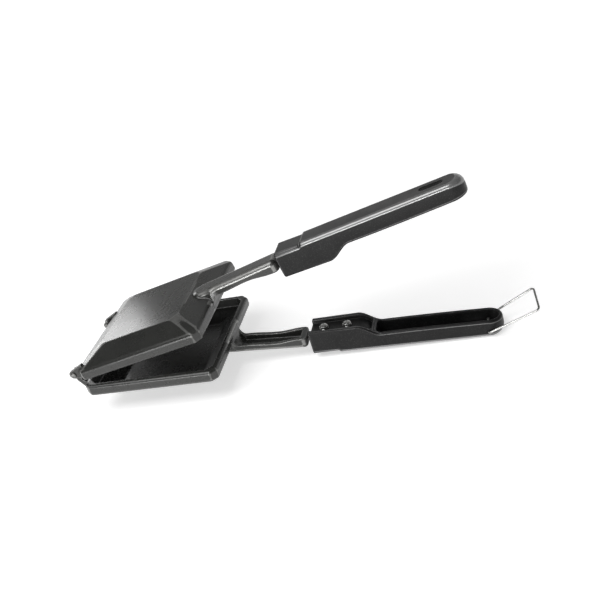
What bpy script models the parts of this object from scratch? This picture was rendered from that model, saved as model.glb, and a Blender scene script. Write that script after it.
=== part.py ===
"""A stovetop sandwich toaster: two hinged pans on two long handles.

Metres, +Z up, +X from the hinge towards the handles, +Y to the far side.
The origin is the centre of the lower pan's flat underside, and the upper half
stands open as it is held while the toaster is filled.

Both halves are described in the same half frame u, v, w. u runs along +X from
the pan's centre, v along +Y, and w outward from the face where the pans meet,
so w points down in the lower half and up in the upper one.
"""
import math

import bmesh
import bpy
from mathutils import Vector

# Fits between separate pieces
SEAT_GAP = 0.0003
CUT_OVERRUN = 0.002

# Pan casting
PAN_SIDE = 0.136
RIM_WALL = 0.0108
BEVEL_RISE = 0.0096
BEVEL_INSET = 0.024
CORNER_CHAMFER = 0.0062
CHAMFER_CROWN = 0.0004
PLATEAU_CORNER = 0.0085
CASTING_EDGE = 0.0008
RIM_WIDTH = 0.0055
RIM_DRAFT = 0.0005
CAST_WALL = 0.0030
CORNER_STEPS = 6

# Cast arm, a channel open towards the other half
ARM_LENGTH = 0.0720
ARM_ROOT_LAP = 0.022
ARM_ROOT_ROUND = 0.009
ARM_WEB_HALF = 0.0100
ARM_RIM_HALF = 0.0111
ARM_WEB_SINK = 0.0014
ARM_WEB_RISE = 0.0064
ARM_WEB = 0.0034
ARM_FLANGE = 0.0028
ARM_EDGE = 0.0011
ARM_NOSE = 0.0044
ARM_END_WALL = 0.0060
FLARE_HALF = 0.0042
FLARE_REACH = 0.0085
FLARE_LAP = 0.0060
RIM_LINE_START = 0.0036
RIM_LINE_LOW = 0.0125
RIM_LINE_CREST = 0.0152
RIM_LINE_END = 0.0138
RIM_CREST_SHARE = 0.55
RIM_DIP_SHARE = 0.86
ROOT_START_SHARE = 0.12
LAP_STOP_SHARE = 0.75
ROOT_FILLET = 0.0085
CHANNEL_START_GAP = 0.0007
TANG_DEPTH = 0.0088
TANG_HALF = 0.0037
TANG_THICK = 0.0038
TANG_CHAMFER = 0.0012
TANG_LENGTH = 0.0500

# Hinge: the rivets turn in the upper ears and rise in slots of the lower ears
HINGE_BACK = 0.0070
HINGE_LIFT = 0.0071
CLOSED_GAP = 0.0005
SLOT_TRAVEL = 0.0034
REST_OPENING = math.radians(11.5)
EAR_THICK = 0.0042
EAR_SIDE_GAP = 0.0005
NEAR_EAR_INSET = 0.0065
FAR_EAR_V = 0.0250
UPPER_EAR_ROUND = 0.0044
LOWER_EAR_ROUND = 0.0033
EAR_BURY = 0.0030
UPPER_EAR_RIDGE = 0.0017
UPPER_EAR_REACH = 0.0062
EAR_FOOT_INSET = 0.0012
LOWER_EAR_SHANK = 0.0056
LOWER_EAR_BACK_SHARES = ((0.6, 0.65), (1.0, 0.33))
LOWER_EAR_NECK_SHARE = 0.55
RIVET_RADIUS = 0.0015
RIVET_CLEARANCE = 0.0003
RIVET_HEAD_RADIUS = 0.0029
RIVET_HEAD_RISE = 0.0016
RIVET_TAIL_RADIUS = 0.0025
RIVET_TAIL_RISE = 0.0012
HINGE_WASHER_RADIUS = 0.0034
HINGE_WASHER_THICK = 0.0006

# Moulded handles
HANDLE_STANDOFF = 0.0043
HANDLE_LENGTH = 0.1765
LUG_HALF = 0.01315
GRIP_END_HALF = 0.0124
TANG_COVER = 0.0130
LUG_DEPTH = 0.0244
LUG_LENGTH = 0.0452
THROAT_LENGTH = 0.0230
THROAT_STEP = 0.0100
GRIP_INNER_DROOP = 0.0026
GRIP_INNER_DROOP_LENGTH = 0.100
GRIP_DROOP_POWER = 1.6
OUTER_STEP_START = 0.0243
OUTER_STEP_LENGTH = 0.0030
OUTER_STEP_RISE = 0.0016
OUTER_DROOP = 0.0033
SIDE_EDGE = 0.0021
END_EDGE = 0.0046
FRONT_EDGE = 0.0008
LUG_INNER_EDGE = 0.0008
GRIP_INNER_EDGE = 0.0021
SIDE_BULGE = 0.0004
HANDLE_WALL = 0.0029
HANDLE_SKIN = 0.0036
LUG_RECESS_DEPTH = 0.0045
CROSS_WALL = 0.0040
CROSS_WALL_BACK = 0.0174
CHANNEL_CORNER = 0.0040
CHANNEL_DRAFT = 0.0008
POCKET_CLEARANCE = 0.0003
THROAT_STEPS = 10
GRIP_STEPS = 7
END_STEPS = 9
END_SWEEP = math.radians(84.0)

# Hanging slot through the outer skin
HANG_SLOT_FROM_END = 0.0168
HANG_SLOT_LENGTH = 0.0205
HANG_SLOT_HALF = 0.0030
HANG_SLOT_LIP = 0.0012
HANG_SLOT_NECK = 0.0018
SLOT_STEPS = 6

# Handle screws
SCREW_FROM_FRONT = 0.0132
SCREW_SPACING = 0.0225
SCREW_RADIUS = 0.0019
SCREW_CLEARANCE = 0.0003
SCREW_HEAD_RADIUS = 0.0040
SCREW_HEAD_RISE = 0.0026
SCREW_HEAD_EDGE = 0.0011
SCREW_SLOT_HALF = 0.0006
SCREW_SLOT_DEPTH = 0.0012
SCREW_TIP_CHAMFER = 0.0005
WASHER_RADIUS = 0.0044
WASHER_THICK = 0.0008
ROUND_STEPS = 28

# Wire bail at the lower handle's end
BAIL_WIRE_RADIUS = 0.0010
BAIL_PIVOT_FROM_END = 0.0136
BAIL_PIVOT_DEPTH = 0.0057
BAIL_REACH = 0.0490
BAIL_SIDE_GAP = 0.0005
BAIL_CORNER = 0.0034
BAIL_END_CORNER = 0.0022
BAIL_TAIL = 0.0022
BAIL_REST = math.radians(25.0)
BAIL_SKEW = math.radians(3.5)
BAIL_CORNER_STEPS = 5
WIRE_SIDES = 10

# Worked out from the sizes above
HALF_SIDE = PAN_SIDE / 2
PLATEAU = RIM_WALL + BEVEL_RISE
BEVEL_SLOPE = BEVEL_RISE / BEVEL_INSET
ARM_END = HALF_SIDE + ARM_LENGTH
ARM_ROOT = HALF_SIDE - ARM_ROOT_LAP
ARM_STRAIGHT_END = ARM_END - ARM_NOSE
TANG_END = ARM_END + TANG_LENGTH
HANDLE_FRONT = ARM_END + HANDLE_STANDOFF - SEAT_GAP
HANDLE_END = HANDLE_FRONT + HANDLE_LENGTH
THROAT_START = HANDLE_FRONT + LUG_LENGTH
THROAT_END = THROAT_START + THROAT_LENGTH
END_CENTRE = HANDLE_END - GRIP_END_HALF
HINGE_U = -HALF_SIDE - HINGE_BACK
HINGE_REST_HEIGHT = HINGE_LIFT + CLOSED_GAP + SLOT_TRAVEL
BAIL_PIVOT_U = HANDLE_END - BAIL_PIVOT_FROM_END


def clear_scene():
    for old in list(bpy.data.objects):
        bpy.data.objects.remove(old, do_unlink=True)


def material(name, colour, roughness, metallic):
    made = bpy.data.materials.new(name)
    made.use_nodes = True
    shader = made.node_tree.nodes["Principled BSDF"]
    shader.inputs["Base Color"].default_value = (*colour, 1.0)
    shader.inputs["Roughness"].default_value = roughness
    shader.inputs["Metallic"].default_value = metallic
    return made


def lerp(start, end, share):
    return start + (end - start) * share


def ease(share):
    """Goes from 0 to 1 along an S with level ends."""
    held = min(max(share, 0.0), 1.0)
    return (1 - math.cos(math.pi * held)) / 2


class Half:
    """Turns u, v, w into the coordinates that a half's objects use."""

    def __init__(self, name, parent, origin, outward):
        self.name = name
        self.parent = parent
        self.origin = origin
        self.outward = outward

    def point(self, u, v, w):
        return Vector((u - self.origin[0], v, self.outward * (w - self.origin[1])))


def finish(name, bm, parent, look, smooth_angle=math.radians(35)):
    """Makes one object of a closed bmesh, faces out."""
    bmesh.ops.recalc_face_normals(bm, faces=bm.faces)
    mesh = bpy.data.meshes.new(name)
    bm.to_mesh(mesh)
    bm.free()
    mesh.shade_smooth()
    mesh.set_sharp_from_angle(angle=smooth_angle)
    made = bpy.data.objects.new(name, mesh)
    bpy.context.scene.collection.objects.link(made)
    made.parent = parent
    if look:
        mesh.materials.append(look)
    return made


def tool(name, bm, parent):
    """Makes a guide that only cuts or joins."""
    made = finish(name, bm, parent, None)
    made.hide_render = True
    made.display_type = 'WIRE'
    return made


def combine(target, other, operation):
    step = target.modifiers.new(other.name, 'BOOLEAN')
    step.operation = operation
    step.solver = 'EXACT'
    step.object = other


def loft(rings):
    """A closed skin through rings of equal count, with flat ends."""
    bm = bmesh.new()
    rows = [[bm.verts.new(point) for point in ring] for ring in rings]
    count = len(rows[0])
    for low, high in zip(rows, rows[1:]):
        for i in range(count):
            j = (i + 1) % count
            bm.faces.new((low[i], low[j], high[j], high[i]))
    bm.faces.new(rows[0])
    bm.faces.new(rows[-1])
    return bm


def lathe(profile, to_point):
    """Turns (radius, height) pairs about an axis. to_point places x, y, height."""
    rings = []
    for radius, height in profile:
        ring = []
        for i in range(ROUND_STEPS):
            angle = 2 * math.pi * i / ROUND_STEPS
            ring.append(to_point(radius * math.cos(angle), radius * math.sin(angle), height))
        rings.append(ring)
    return loft(rings)


def prism(outline, low, high, to_point):
    """An outline of pairs, carried from low to high along the third direction."""
    return loft([[to_point(a, b, level) for a, b in outline] for level in (low, high)])


# Pan casting
def bevel_height(u):
    """w of the sloping band on the handle side, at a distance u from the centre."""
    return RIM_WALL + (HALF_SIDE - u) * BEVEL_SLOPE


def pan_outline(share):
    """The plan outline, from the chamfered rim (0) to the rounded plateau (1)."""
    points = []
    arc_centre = HALF_SIDE - BEVEL_INSET - PLATEAU_CORNER
    for corner in range(4):
        turn = corner * math.pi / 2
        for i in range(CORNER_STEPS + 1):
            part = i / CORNER_STEPS
            crown = CHAMFER_CROWN * math.sin(math.pi * part)
            rim = Vector((HALF_SIDE - CORNER_CHAMFER * part + crown,
                          HALF_SIDE - CORNER_CHAMFER * (1 - part) + crown))
            angle = part * math.pi / 2
            flat = Vector((arc_centre + PLATEAU_CORNER * math.cos(angle),
                           arc_centre + PLATEAU_CORNER * math.sin(angle)))
            here = rim.lerp(flat, share)
            points.append((here.x * math.cos(turn) - here.y * math.sin(turn),
                           here.x * math.sin(turn) + here.y * math.cos(turn)))
    return points


def pan_bowl(half):
    """The dished pan, as rings from the plateau over the rim to the cavity floor."""
    edge = CASTING_EDGE
    normal_wall = CAST_WALL * math.hypot(1, BEVEL_SLOPE)
    inner_start = RIM_WIDTH + RIM_DRAFT
    inner_wall_top = RIM_WALL - normal_wall + inner_start * BEVEL_SLOPE
    floor = PLATEAU - CAST_WALL
    floor_inset = (floor - RIM_WALL + normal_wall) / BEVEL_SLOPE
    levels = [
        (BEVEL_INSET + edge, PLATEAU),
        (BEVEL_INSET, PLATEAU - edge * BEVEL_SLOPE / 2),
        (BEVEL_INSET - edge, PLATEAU - edge * BEVEL_SLOPE),
        (edge, RIM_WALL + edge * BEVEL_SLOPE),
        (edge / 4, RIM_WALL - edge / 4),
        (0.0, RIM_WALL - edge),
        (0.0, edge / 2),
        (edge / 2, 0.0),
        (RIM_WIDTH, 0.0),
        (inner_start, inner_wall_top),
        (floor_inset, floor),
    ]
    rings = []
    for inset, w in levels:
        rings.append([half.point(u, v, w) for u, v in pan_outline(inset / BEVEL_INSET)])
    return loft(rings)


# Cast arm
def web_height(u):
    """w of the arm's outer face."""
    share = (u - ARM_ROOT) / (ARM_END - ARM_ROOT)
    return PLATEAU - ARM_WEB_SINK + ARM_WEB_RISE * share


def arm_rim_height(u):
    """w of the flanges' rim, from the pan's wall to the arm's end."""
    fillet_end = HALF_SIDE + ROOT_FILLET
    crest = lerp(fillet_end, ARM_END, RIM_CREST_SHARE)
    dip = lerp(fillet_end, ARM_END, RIM_DIP_SHARE)
    if u < fillet_end:
        share = (u - HALF_SIDE) / ROOT_FILLET
        return lerp(RIM_LINE_START, RIM_LINE_LOW, math.sqrt(1 - (1 - share) ** 2))
    if u < crest:
        return lerp(RIM_LINE_LOW, RIM_LINE_CREST, ease((u - fillet_end) / (crest - fillet_end)))
    return lerp(RIM_LINE_CREST, RIM_LINE_END, ease((u - crest) / (dip - crest)))


def flare(u):
    """Extra half width where the flanges spread into the pan."""
    reach = FLARE_REACH if u > HALF_SIDE else FLARE_LAP
    share = min(abs(u - HALF_SIDE) / reach, 1.0)
    return FLARE_HALF * (1 - share) ** 2


def arm_section(half, u, base, top, top_half, base_half):
    edge = min(ARM_EDGE, top_half / 2, (top - base) / 3)
    side = [(base_half, base), (top_half, top - edge), (top_half - edge / 3, top - edge / 3),
            (top_half - edge, top)]
    outline = side + [(-v, w) for v, w in reversed(side)]
    return [half.point(u, v, w) for v, w in outline]


def arm_solid(half):
    """The arm without its channel, from its lap on the bevel to its rounded end."""
    rings = []
    bury = CAST_WALL / 2
    lap_stop = HALF_SIDE - RIM_WIDTH * LAP_STOP_SHARE
    for i in range(8):
        part = math.sin(math.pi / 2 * lerp(ROOT_START_SHARE, 1.0, i / 7))
        u = ARM_ROOT + ARM_ROOT_ROUND * (1 - math.sqrt(1 - part ** 2))
        base = bevel_height(u) - bury
        top = max(web_height(u), base + bury / 2)
        rings.append(arm_section(half, u, base, top, ARM_WEB_HALF * part, ARM_RIM_HALF * part))
    for i in range(1, 4):
        u = lerp(ARM_ROOT + ARM_ROOT_ROUND, lap_stop, i / 3)
        base = bevel_height(u) - bury
        rings.append(arm_section(half, u, base, web_height(u), ARM_WEB_HALF, ARM_RIM_HALF + flare(u)))
    inside = HALF_SIDE - RIM_WIDTH / 3
    rings.append(arm_section(half, inside, RIM_LINE_START, web_height(inside), ARM_WEB_HALF,
                             ARM_RIM_HALF + flare(inside)))
    for i in range(9):
        u = HALF_SIDE + ROOT_FILLET * i / 8
        rings.append(arm_section(half, u, arm_rim_height(u), web_height(u), ARM_WEB_HALF,
                                 ARM_RIM_HALF + flare(u)))
    for i in range(1, 9):
        u = lerp(HALF_SIDE + ROOT_FILLET, ARM_STRAIGHT_END, i / 8)
        rings.append(arm_section(half, u, arm_rim_height(u), web_height(u), ARM_WEB_HALF, ARM_RIM_HALF))
    for turn in (25, 50, 72, 90):
        angle = math.radians(turn)
        u = ARM_STRAIGHT_END + ARM_NOSE * math.sin(angle)
        top = web_height(ARM_STRAIGHT_END) - ARM_NOSE * (1 - math.cos(angle))
        rings.append(arm_section(half, u, arm_rim_height(u), top, ARM_WEB_HALF, ARM_RIM_HALF))
    return loft(rings)


def arm_channel(half):
    """The hollow between the flanges, closed by the pan's wall and by the end wall."""
    rings = []
    start = HALF_SIDE + CHANNEL_START_GAP
    inner_half = ARM_RIM_HALF - ARM_FLANGE
    open_w = -CUT_OVERRUN
    count = 7
    for i in range(count + 1):
        share = i / count
        u = start + ROOT_FILLET * share
        full = web_height(u) - ARM_WEB
        floor = lerp(RIM_LINE_START, full, math.sqrt(1 - (1 - share) ** 2))
        rings.append((u, floor, flare(u)))
    end = ARM_END - ARM_END_WALL
    for i in range(1, 5):
        u = lerp(start + ROOT_FILLET, end - ARM_NOSE, i / 4)
        rings.append((u, web_height(u) - ARM_WEB, 0.0))
    depth = web_height(end) - ARM_WEB - arm_rim_height(end)
    for turn in (30, 60, 90):
        angle = math.radians(turn)
        u = end - ARM_NOSE * (1 - math.sin(angle))
        rings.append((u, web_height(u) - ARM_WEB - depth * (1 - math.cos(angle)), 0.0))
    made = []
    for u, floor, spread in rings:
        floor_half = inner_half - ARM_EDGE
        outline = [(inner_half + spread, open_w), (floor_half + spread / 2, floor - ARM_EDGE),
                   (floor_half - ARM_EDGE, floor), (-floor_half + ARM_EDGE, floor),
                   (-floor_half - spread / 2, floor - ARM_EDGE), (-inner_half - spread, open_w)]
        made.append([half.point(u, v, w) for v, w in outline])
    return loft(made)


def tang_centre():
    """w of the middle of the tang that runs into the handle."""
    return web_height(ARM_END) - TANG_DEPTH


def box(half, u_range, v_range, w_range):
    outline = [(u_range[0], v_range[0]), (u_range[1], v_range[0]),
               (u_range[1], v_range[1]), (u_range[0], v_range[1])]
    return prism(outline, w_range[0], w_range[1], half.point)


def tang(half):
    middle = tang_centre()
    start = ARM_END - ARM_END_WALL / 2
    shoulder = TANG_END - TANG_CHAMFER
    narrow = TANG_HALF - TANG_CHAMFER
    outline = [(start, -TANG_HALF), (shoulder, -TANG_HALF), (TANG_END, -narrow),
               (TANG_END, narrow), (shoulder, TANG_HALF), (start, TANG_HALF)]
    return prism(outline, middle - TANG_THICK / 2, middle + TANG_THICK / 2, half.point)


# Hinge ears
def ear_ranges():
    """v ranges of the upper and the lower ear at each hinge point."""
    near = -HALF_SIDE + NEAR_EAR_INSET
    pitch = EAR_THICK + EAR_SIDE_GAP
    return {
        "near": {"upper": (near, near + EAR_THICK),
                 "lower": (near + pitch, near + pitch + EAR_THICK)},
        "far": {"lower": (FAR_EAR_V, FAR_EAR_V + EAR_THICK),
                "upper": (FAR_EAR_V + pitch, FAR_EAR_V + pitch + EAR_THICK)},
    }


def arc(centre, radius, start, end, steps):
    points = []
    for i in range(steps + 1):
        angle = math.radians(lerp(start, end, i / steps))
        points.append((centre[0] + radius * math.cos(angle), centre[1] + radius * math.sin(angle)))
    return points


def upper_ear_outline():
    """A nose round the rivet, with a ridge that runs up beside the bevel."""
    wall = -HALF_SIDE
    reach = wall + UPPER_EAR_REACH
    over_bevel = RIM_WALL + UPPER_EAR_REACH * BEVEL_SLOPE
    nose = arc((HINGE_U, HINGE_LIFT), UPPER_EAR_ROUND, 112, 285, 12)
    return nose + [(wall, EAR_FOOT_INSET), (wall + EAR_BURY, EAR_FOOT_INSET + EAR_BURY / 2),
                   (wall + EAR_BURY, RIM_WALL - CAST_WALL / 2), (reach, over_bevel - CAST_WALL / 2),
                   (reach, over_bevel + UPPER_EAR_RIDGE)]


def lower_ear_outline():
    """An upright with a round top, curving up from behind the lower pan's wall."""
    wall = -HALF_SIDE
    top = -HINGE_REST_HEIGHT
    head = arc((HINGE_U, top), LOWER_EAR_ROUND, 180, 360, 12)
    foot = RIM_WALL - EAR_FOOT_INSET
    back = [(wall - LOWER_EAR_SHANK * out, RIM_WALL * down) for out, down in LOWER_EAR_BACK_SHARES]
    return head + [(HINGE_U + LOWER_EAR_ROUND, -EAR_FOOT_INSET), (wall, EAR_FOOT_INSET),
                   (wall + EAR_BURY, EAR_FOOT_INSET + EAR_BURY / 2), (wall + EAR_BURY, foot - EAR_BURY / 2),
                   (wall, foot)] + back + [
                       (HINGE_U - LOWER_EAR_ROUND * LOWER_EAR_NECK_SHARE, -EAR_FOOT_INSET),
                       (HINGE_U - LOWER_EAR_ROUND, top + SLOT_TRAVEL)]


def along_v(half):
    """Takes an outline in u and w, and a level in v."""
    return lambda u, w, v: half.point(u, v, w)


def slot_outline(centre_u, low, high, radius):
    """A round-ended slot in u and w."""
    return arc((centre_u, high), radius, 0, 180, 8) + arc((centre_u, low), radius, 180, 360, 8)


def make_pan(half, upper, look):
    bowl = finish(half.name + "_pan", pan_bowl(half), half.parent, look)
    combine(bowl, tool(half.name + "_arm_solid", arm_solid(half), half.parent), 'UNION')
    combine(bowl, tool(half.name + "_arm_channel", arm_channel(half), half.parent), 'DIFFERENCE')
    combine(bowl, tool(half.name + "_tang_solid", tang(half), half.parent), 'UNION')
    key = "upper" if upper else "lower"
    outline = upper_ear_outline() if upper else lower_ear_outline()
    hole_radius = RIVET_RADIUS + RIVET_CLEARANCE
    if upper:
        hole = slot_outline(HINGE_U, HINGE_LIFT, HINGE_LIFT, hole_radius)[:-1]
        del hole[8]
    else:
        hole = slot_outline(HINGE_U, -HINGE_REST_HEIGHT, -HINGE_REST_HEIGHT + SLOT_TRAVEL, hole_radius)
    for side, ranges in ear_ranges().items():
        low, high = ranges[key]
        ear = prism(outline, low, high, along_v(half))
        combine(bowl, tool(half.name + "_" + side + "_ear", ear, half.parent), 'UNION')
        bore = prism(hole, low - EAR_SIDE_GAP / 2, high + EAR_SIDE_GAP / 2, along_v(half))
        combine(bowl, tool(half.name + "_" + side + "_ear_bore", bore, half.parent), 'DIFFERENCE')
    bores = bmesh.new()
    for u in screw_places():
        middle = tang_centre()
        add_cylinder(bores, half, u, SCREW_RADIUS + SCREW_CLEARANCE,
                     middle - TANG_THICK, middle + TANG_THICK)
    combine(bowl, tool(half.name + "_tang_bores", bores, half.parent), 'DIFFERENCE')
    return bowl


def add_cylinder(bm, half, u, radius, low, high):
    """Adds a closed cylinder along w at v = 0 to a bmesh."""
    rows = []
    for level in (low, high):
        row = []
        for i in range(ROUND_STEPS):
            angle = 2 * math.pi * i / ROUND_STEPS
            place = half.point(u + radius * math.cos(angle), radius * math.sin(angle), level)
            row.append(bm.verts.new(place))
        rows.append(row)
    for i in range(ROUND_STEPS):
        j = (i + 1) % ROUND_STEPS
        bm.faces.new((rows[0][i], rows[0][j], rows[1][j], rows[1][i]))
    bm.faces.new(rows[0])
    bm.faces.new(rows[1])


# Moulded handle
def screw_places():
    first = HANDLE_FRONT + SCREW_FROM_FRONT
    return [first, first + SCREW_SPACING]


def handle_outer(u):
    """w of the handle's outer face along its middle."""
    lug = tang_centre() + TANG_THICK / 2 + TANG_COVER
    step_start = HANDLE_FRONT + OUTER_STEP_START
    step = OUTER_STEP_RISE * ease((u - step_start) / OUTER_STEP_LENGTH)
    share = max(u - step_start, 0.0) / (HANDLE_END - step_start)
    return lug + step + OUTER_DROOP * share


def handle_inner(u):
    """w of the handle's inner rim: the deep lug, the throat and the slim grip."""
    lug = tang_centre() + TANG_THICK / 2 + TANG_COVER - LUG_DEPTH
    throat = THROAT_STEP * ease((u - THROAT_START) / THROAT_LENGTH)
    share = max(u - THROAT_END, 0.0) / GRIP_INNER_DROOP_LENGTH
    return lug + throat + GRIP_INNER_DROOP * share ** GRIP_DROOP_POWER


def handle_half_width(u):
    share = min(max((u - THROAT_START) / (END_CENTRE - THROAT_START), 0.0), 1.0)
    return lerp(LUG_HALF, GRIP_END_HALF, share)


def handle_stations():
    """Places along one side: (u, half width, angle round the end) from the front to the tip."""
    places = [HANDLE_FRONT]
    step_start = HANDLE_FRONT + OUTER_STEP_START
    for i in range(5):
        places.append(step_start + OUTER_STEP_LENGTH * i / 4)
    for i in range(THROAT_STEPS + 1):
        places.append(lerp(THROAT_START, THROAT_END, i / THROAT_STEPS))
    for i in range(1, GRIP_STEPS + 1):
        places.append(lerp(THROAT_END, END_CENTRE, i / GRIP_STEPS))
    stations = [(u, handle_half_width(u), 0.0) for u in places]
    for i in range(1, END_STEPS + 1):
        angle = END_SWEEP * i / END_STEPS
        place = (END_CENTRE + GRIP_END_HALF * math.sin(angle), GRIP_END_HALF * math.cos(angle))
        stations.append((*place, angle))
    return stations


def inner_edge(u):
    """Radius of the rim's outer edge, which grows along the throat."""
    return lerp(LUG_INNER_EDGE, GRIP_INNER_EDGE, ease((u - THROAT_START) / THROAT_LENGTH))


def outer_edge(angle):
    """Radius of the back's edge, which grows round the end."""
    return lerp(SIDE_EDGE, END_EDGE, math.sin(angle) ** 2)


def handle_ring(half, inset_of, height_of):
    """One ring round the handle, drawn in by inset_of(u, angle) at height_of(u, angle)."""
    side = []
    for u, width, angle in handle_stations():
        inset = inset_of(u, angle)
        if angle > 0:
            radius = GRIP_END_HALF - inset
            place = (END_CENTRE + radius * math.sin(angle), radius * math.cos(angle))
        else:
            front = min(max(inset, 0.0), FRONT_EDGE) if u == HANDLE_FRONT else 0.0
            place = (u + front, width - inset)
        side.append((place[0], place[1], height_of(u, angle)))
    ring = [half.point(u, -v, w) for u, v, w in side]
    ring += [half.point(u, v, w) for u, v, w in reversed(side)]
    return ring


def strip_caps(bm, row):
    """Closes a ring across v, so that the cap follows the ring's heights."""
    count = len(row)
    for i in range(count // 2 - 1):
        bm.faces.new((row[i], row[i + 1], row[count - 2 - i], row[count - 1 - i]))


def strip_loft(rings):
    bm = bmesh.new()
    rows = [[bm.verts.new(point) for point in ring] for ring in rings]
    count = len(rows[0])
    for low, high in zip(rows, rows[1:]):
        for i in range(count):
            j = (i + 1) % count
            bm.faces.new((low[i], low[j], high[j], high[i]))
    strip_caps(bm, rows[0])
    strip_caps(bm, rows[-1])
    return bm


def handle_body(half):
    """The moulding's outside: rim edge, slightly full sides, back edge."""
    rings = []
    for turn in (90, 60, 30, 0):
        lean = math.radians(turn)
        rings.append(handle_ring(
            half, lambda u, angle: inner_edge(u) * (1 - math.cos(lean)),
            lambda u, angle: handle_inner(u) + inner_edge(u) * (1 - math.sin(lean))))
    for i in range(1, 4):
        share = i / 4
        rings.append(handle_ring(
            half, lambda u, angle: -SIDE_BULGE * math.sin(math.pi * share),
            lambda u, angle: lerp(handle_inner(u) + inner_edge(u),
                                  handle_outer(u) - outer_edge(angle), share)))
    for turn in (0, 22, 45, 68, 90):
        lean = math.radians(turn)
        rings.append(handle_ring(
            half, lambda u, angle: outer_edge(angle) * (1 - math.cos(lean)),
            lambda u, angle: handle_outer(u) - outer_edge(angle) * (1 - math.sin(lean))))
    return strip_loft(rings)


def lug_recess(half):
    """The shallow tray that the screws stand in, open at the front."""
    start = HANDLE_FRONT - CUT_OVERRUN
    end = THROAT_START + CROSS_WALL_BACK - CROSS_WALL
    places = [start, HANDLE_FRONT, THROAT_START]
    for i in range(1, 7):
        places.append(lerp(THROAT_START, end - CHANNEL_CORNER, i / 6))
    stations = [(u, 0.0) for u in places]
    for i in range(1, 5):
        angle = math.radians(90) * i / 4
        pull = CHANNEL_CORNER * (1 - math.cos(angle))
        stations.append((end - CHANNEL_CORNER * (1 - math.sin(angle)), pull))
    rings = []
    for draft, deep in ((0.0, False), (CHANNEL_DRAFT, True)):
        side = []
        for u, pull in stations:
            v = handle_half_width(u) - HANDLE_WALL - pull - draft
            w = handle_inner(u) + LUG_RECESS_DEPTH if deep else handle_inner(u) - CUT_OVERRUN
            side.append((u, v, w))
        rings.append([half.point(u, -v, w) for u, v, w in side]
                     + [half.point(u, v, w) for u, v, w in reversed(side)])
    return strip_loft(rings)


def grip_channel(half):
    """The deep hollow under the grip, round at both ends."""
    start = THROAT_START + CROSS_WALL_BACK
    stations = []
    for i in range(5):
        angle = math.radians(90) * i / 4
        pull = CHANNEL_CORNER * (1 - math.sin(angle))
        stations.append((start + CHANNEL_CORNER * (1 - math.cos(angle)), pull, 0.0))
    for i in range(1, GRIP_STEPS + 3):
        stations.append((lerp(start + CHANNEL_CORNER, END_CENTRE, i / (GRIP_STEPS + 2)), 0.0, 0.0))
    inner = GRIP_END_HALF - HANDLE_WALL
    for i in range(1, END_STEPS + 1):
        stations.append((END_CENTRE, 0.0, END_SWEEP * i / END_STEPS))
    rings = []
    for draft, deep in ((0.0, False), (CHANNEL_DRAFT, True)):
        side = []
        for u, pull, angle in stations:
            if angle > 0:
                radius = inner - draft
                place = (END_CENTRE + radius * math.sin(angle), radius * math.cos(angle))
            else:
                along = u + draft if pull > 0 else u
                place = (along, handle_half_width(u) - HANDLE_WALL - pull - draft)
            w = handle_outer(u) - HANDLE_SKIN if deep else handle_inner(u) - CUT_OVERRUN
            side.append((place[0], place[1], w))
        rings.append([half.point(u, -v, w) for u, v, w in side]
                     + [half.point(u, v, w) for u, v, w in reversed(side)])
    return strip_loft(rings)


def tang_pocket(half):
    gap = POCKET_CLEARANCE
    middle = tang_centre()
    return box(half, (HANDLE_FRONT - CUT_OVERRUN, TANG_END + gap), (-TANG_HALF - gap, TANG_HALF + gap),
               (middle - TANG_THICK / 2 - gap, middle + TANG_THICK / 2 + gap))


def hang_slot(half):
    """A round-ended slot with a bevelled lip, through the outer skin."""
    end = HANDLE_END - HANG_SLOT_FROM_END
    start = end - HANG_SLOT_LENGTH
    face = handle_outer(end)
    levels = [(0.0, face - HANDLE_SKIN - CUT_OVERRUN), (0.0, face - HANG_SLOT_NECK),
              (HANG_SLOT_LIP, face), (HANG_SLOT_LIP * 2, face + HANG_SLOT_LIP)]
    rings = []
    for grow, w in levels:
        radius = HANG_SLOT_HALF + grow
        outline = arc((end - HANG_SLOT_HALF, 0.0), radius, -90, 90, SLOT_STEPS)
        outline += arc((start + HANG_SLOT_HALF, 0.0), radius, 90, 270, SLOT_STEPS)
        rings.append([half.point(u, v, w) for u, v in outline])
    return loft(rings)


def bail_pivot_height():
    """w of the bail's pivot in the handle's side walls."""
    return handle_outer(BAIL_PIVOT_U) - BAIL_PIVOT_DEPTH


def make_handle(half, with_bail, look):
    body = finish(half.name + "_handle", handle_body(half), half.parent, look)
    for label, cutter in (("lug_recess", lug_recess(half)), ("grip_channel", grip_channel(half)),
                          ("tang_pocket", tang_pocket(half)), ("hang_slot", hang_slot(half))):
        combine(body, tool(half.name + "_" + label, cutter, half.parent), 'DIFFERENCE')
    bores = bmesh.new()
    for u in screw_places():
        floor = handle_inner(u) + LUG_RECESS_DEPTH
        add_cylinder(bores, half, u, SCREW_RADIUS + SCREW_CLEARANCE, floor - CUT_OVERRUN, tang_centre())
    combine(body, tool(half.name + "_screw_bores", bores, half.parent), 'DIFFERENCE')
    if with_bail:
        radius = BAIL_WIRE_RADIUS + SEAT_GAP
        reach = LUG_HALF + CUT_OVERRUN
        bore = lathe([(radius, -reach), (radius, reach)],
                     lambda x, y, v: half.point(BAIL_PIVOT_U + x, v, bail_pivot_height() + y))
        combine(body, tool(half.name + "_bail_bore", bore, half.parent), 'DIFFERENCE')
    return body


# Fasteners
def screw_seat(u):
    return handle_inner(u) + LUG_RECESS_DEPTH


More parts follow.
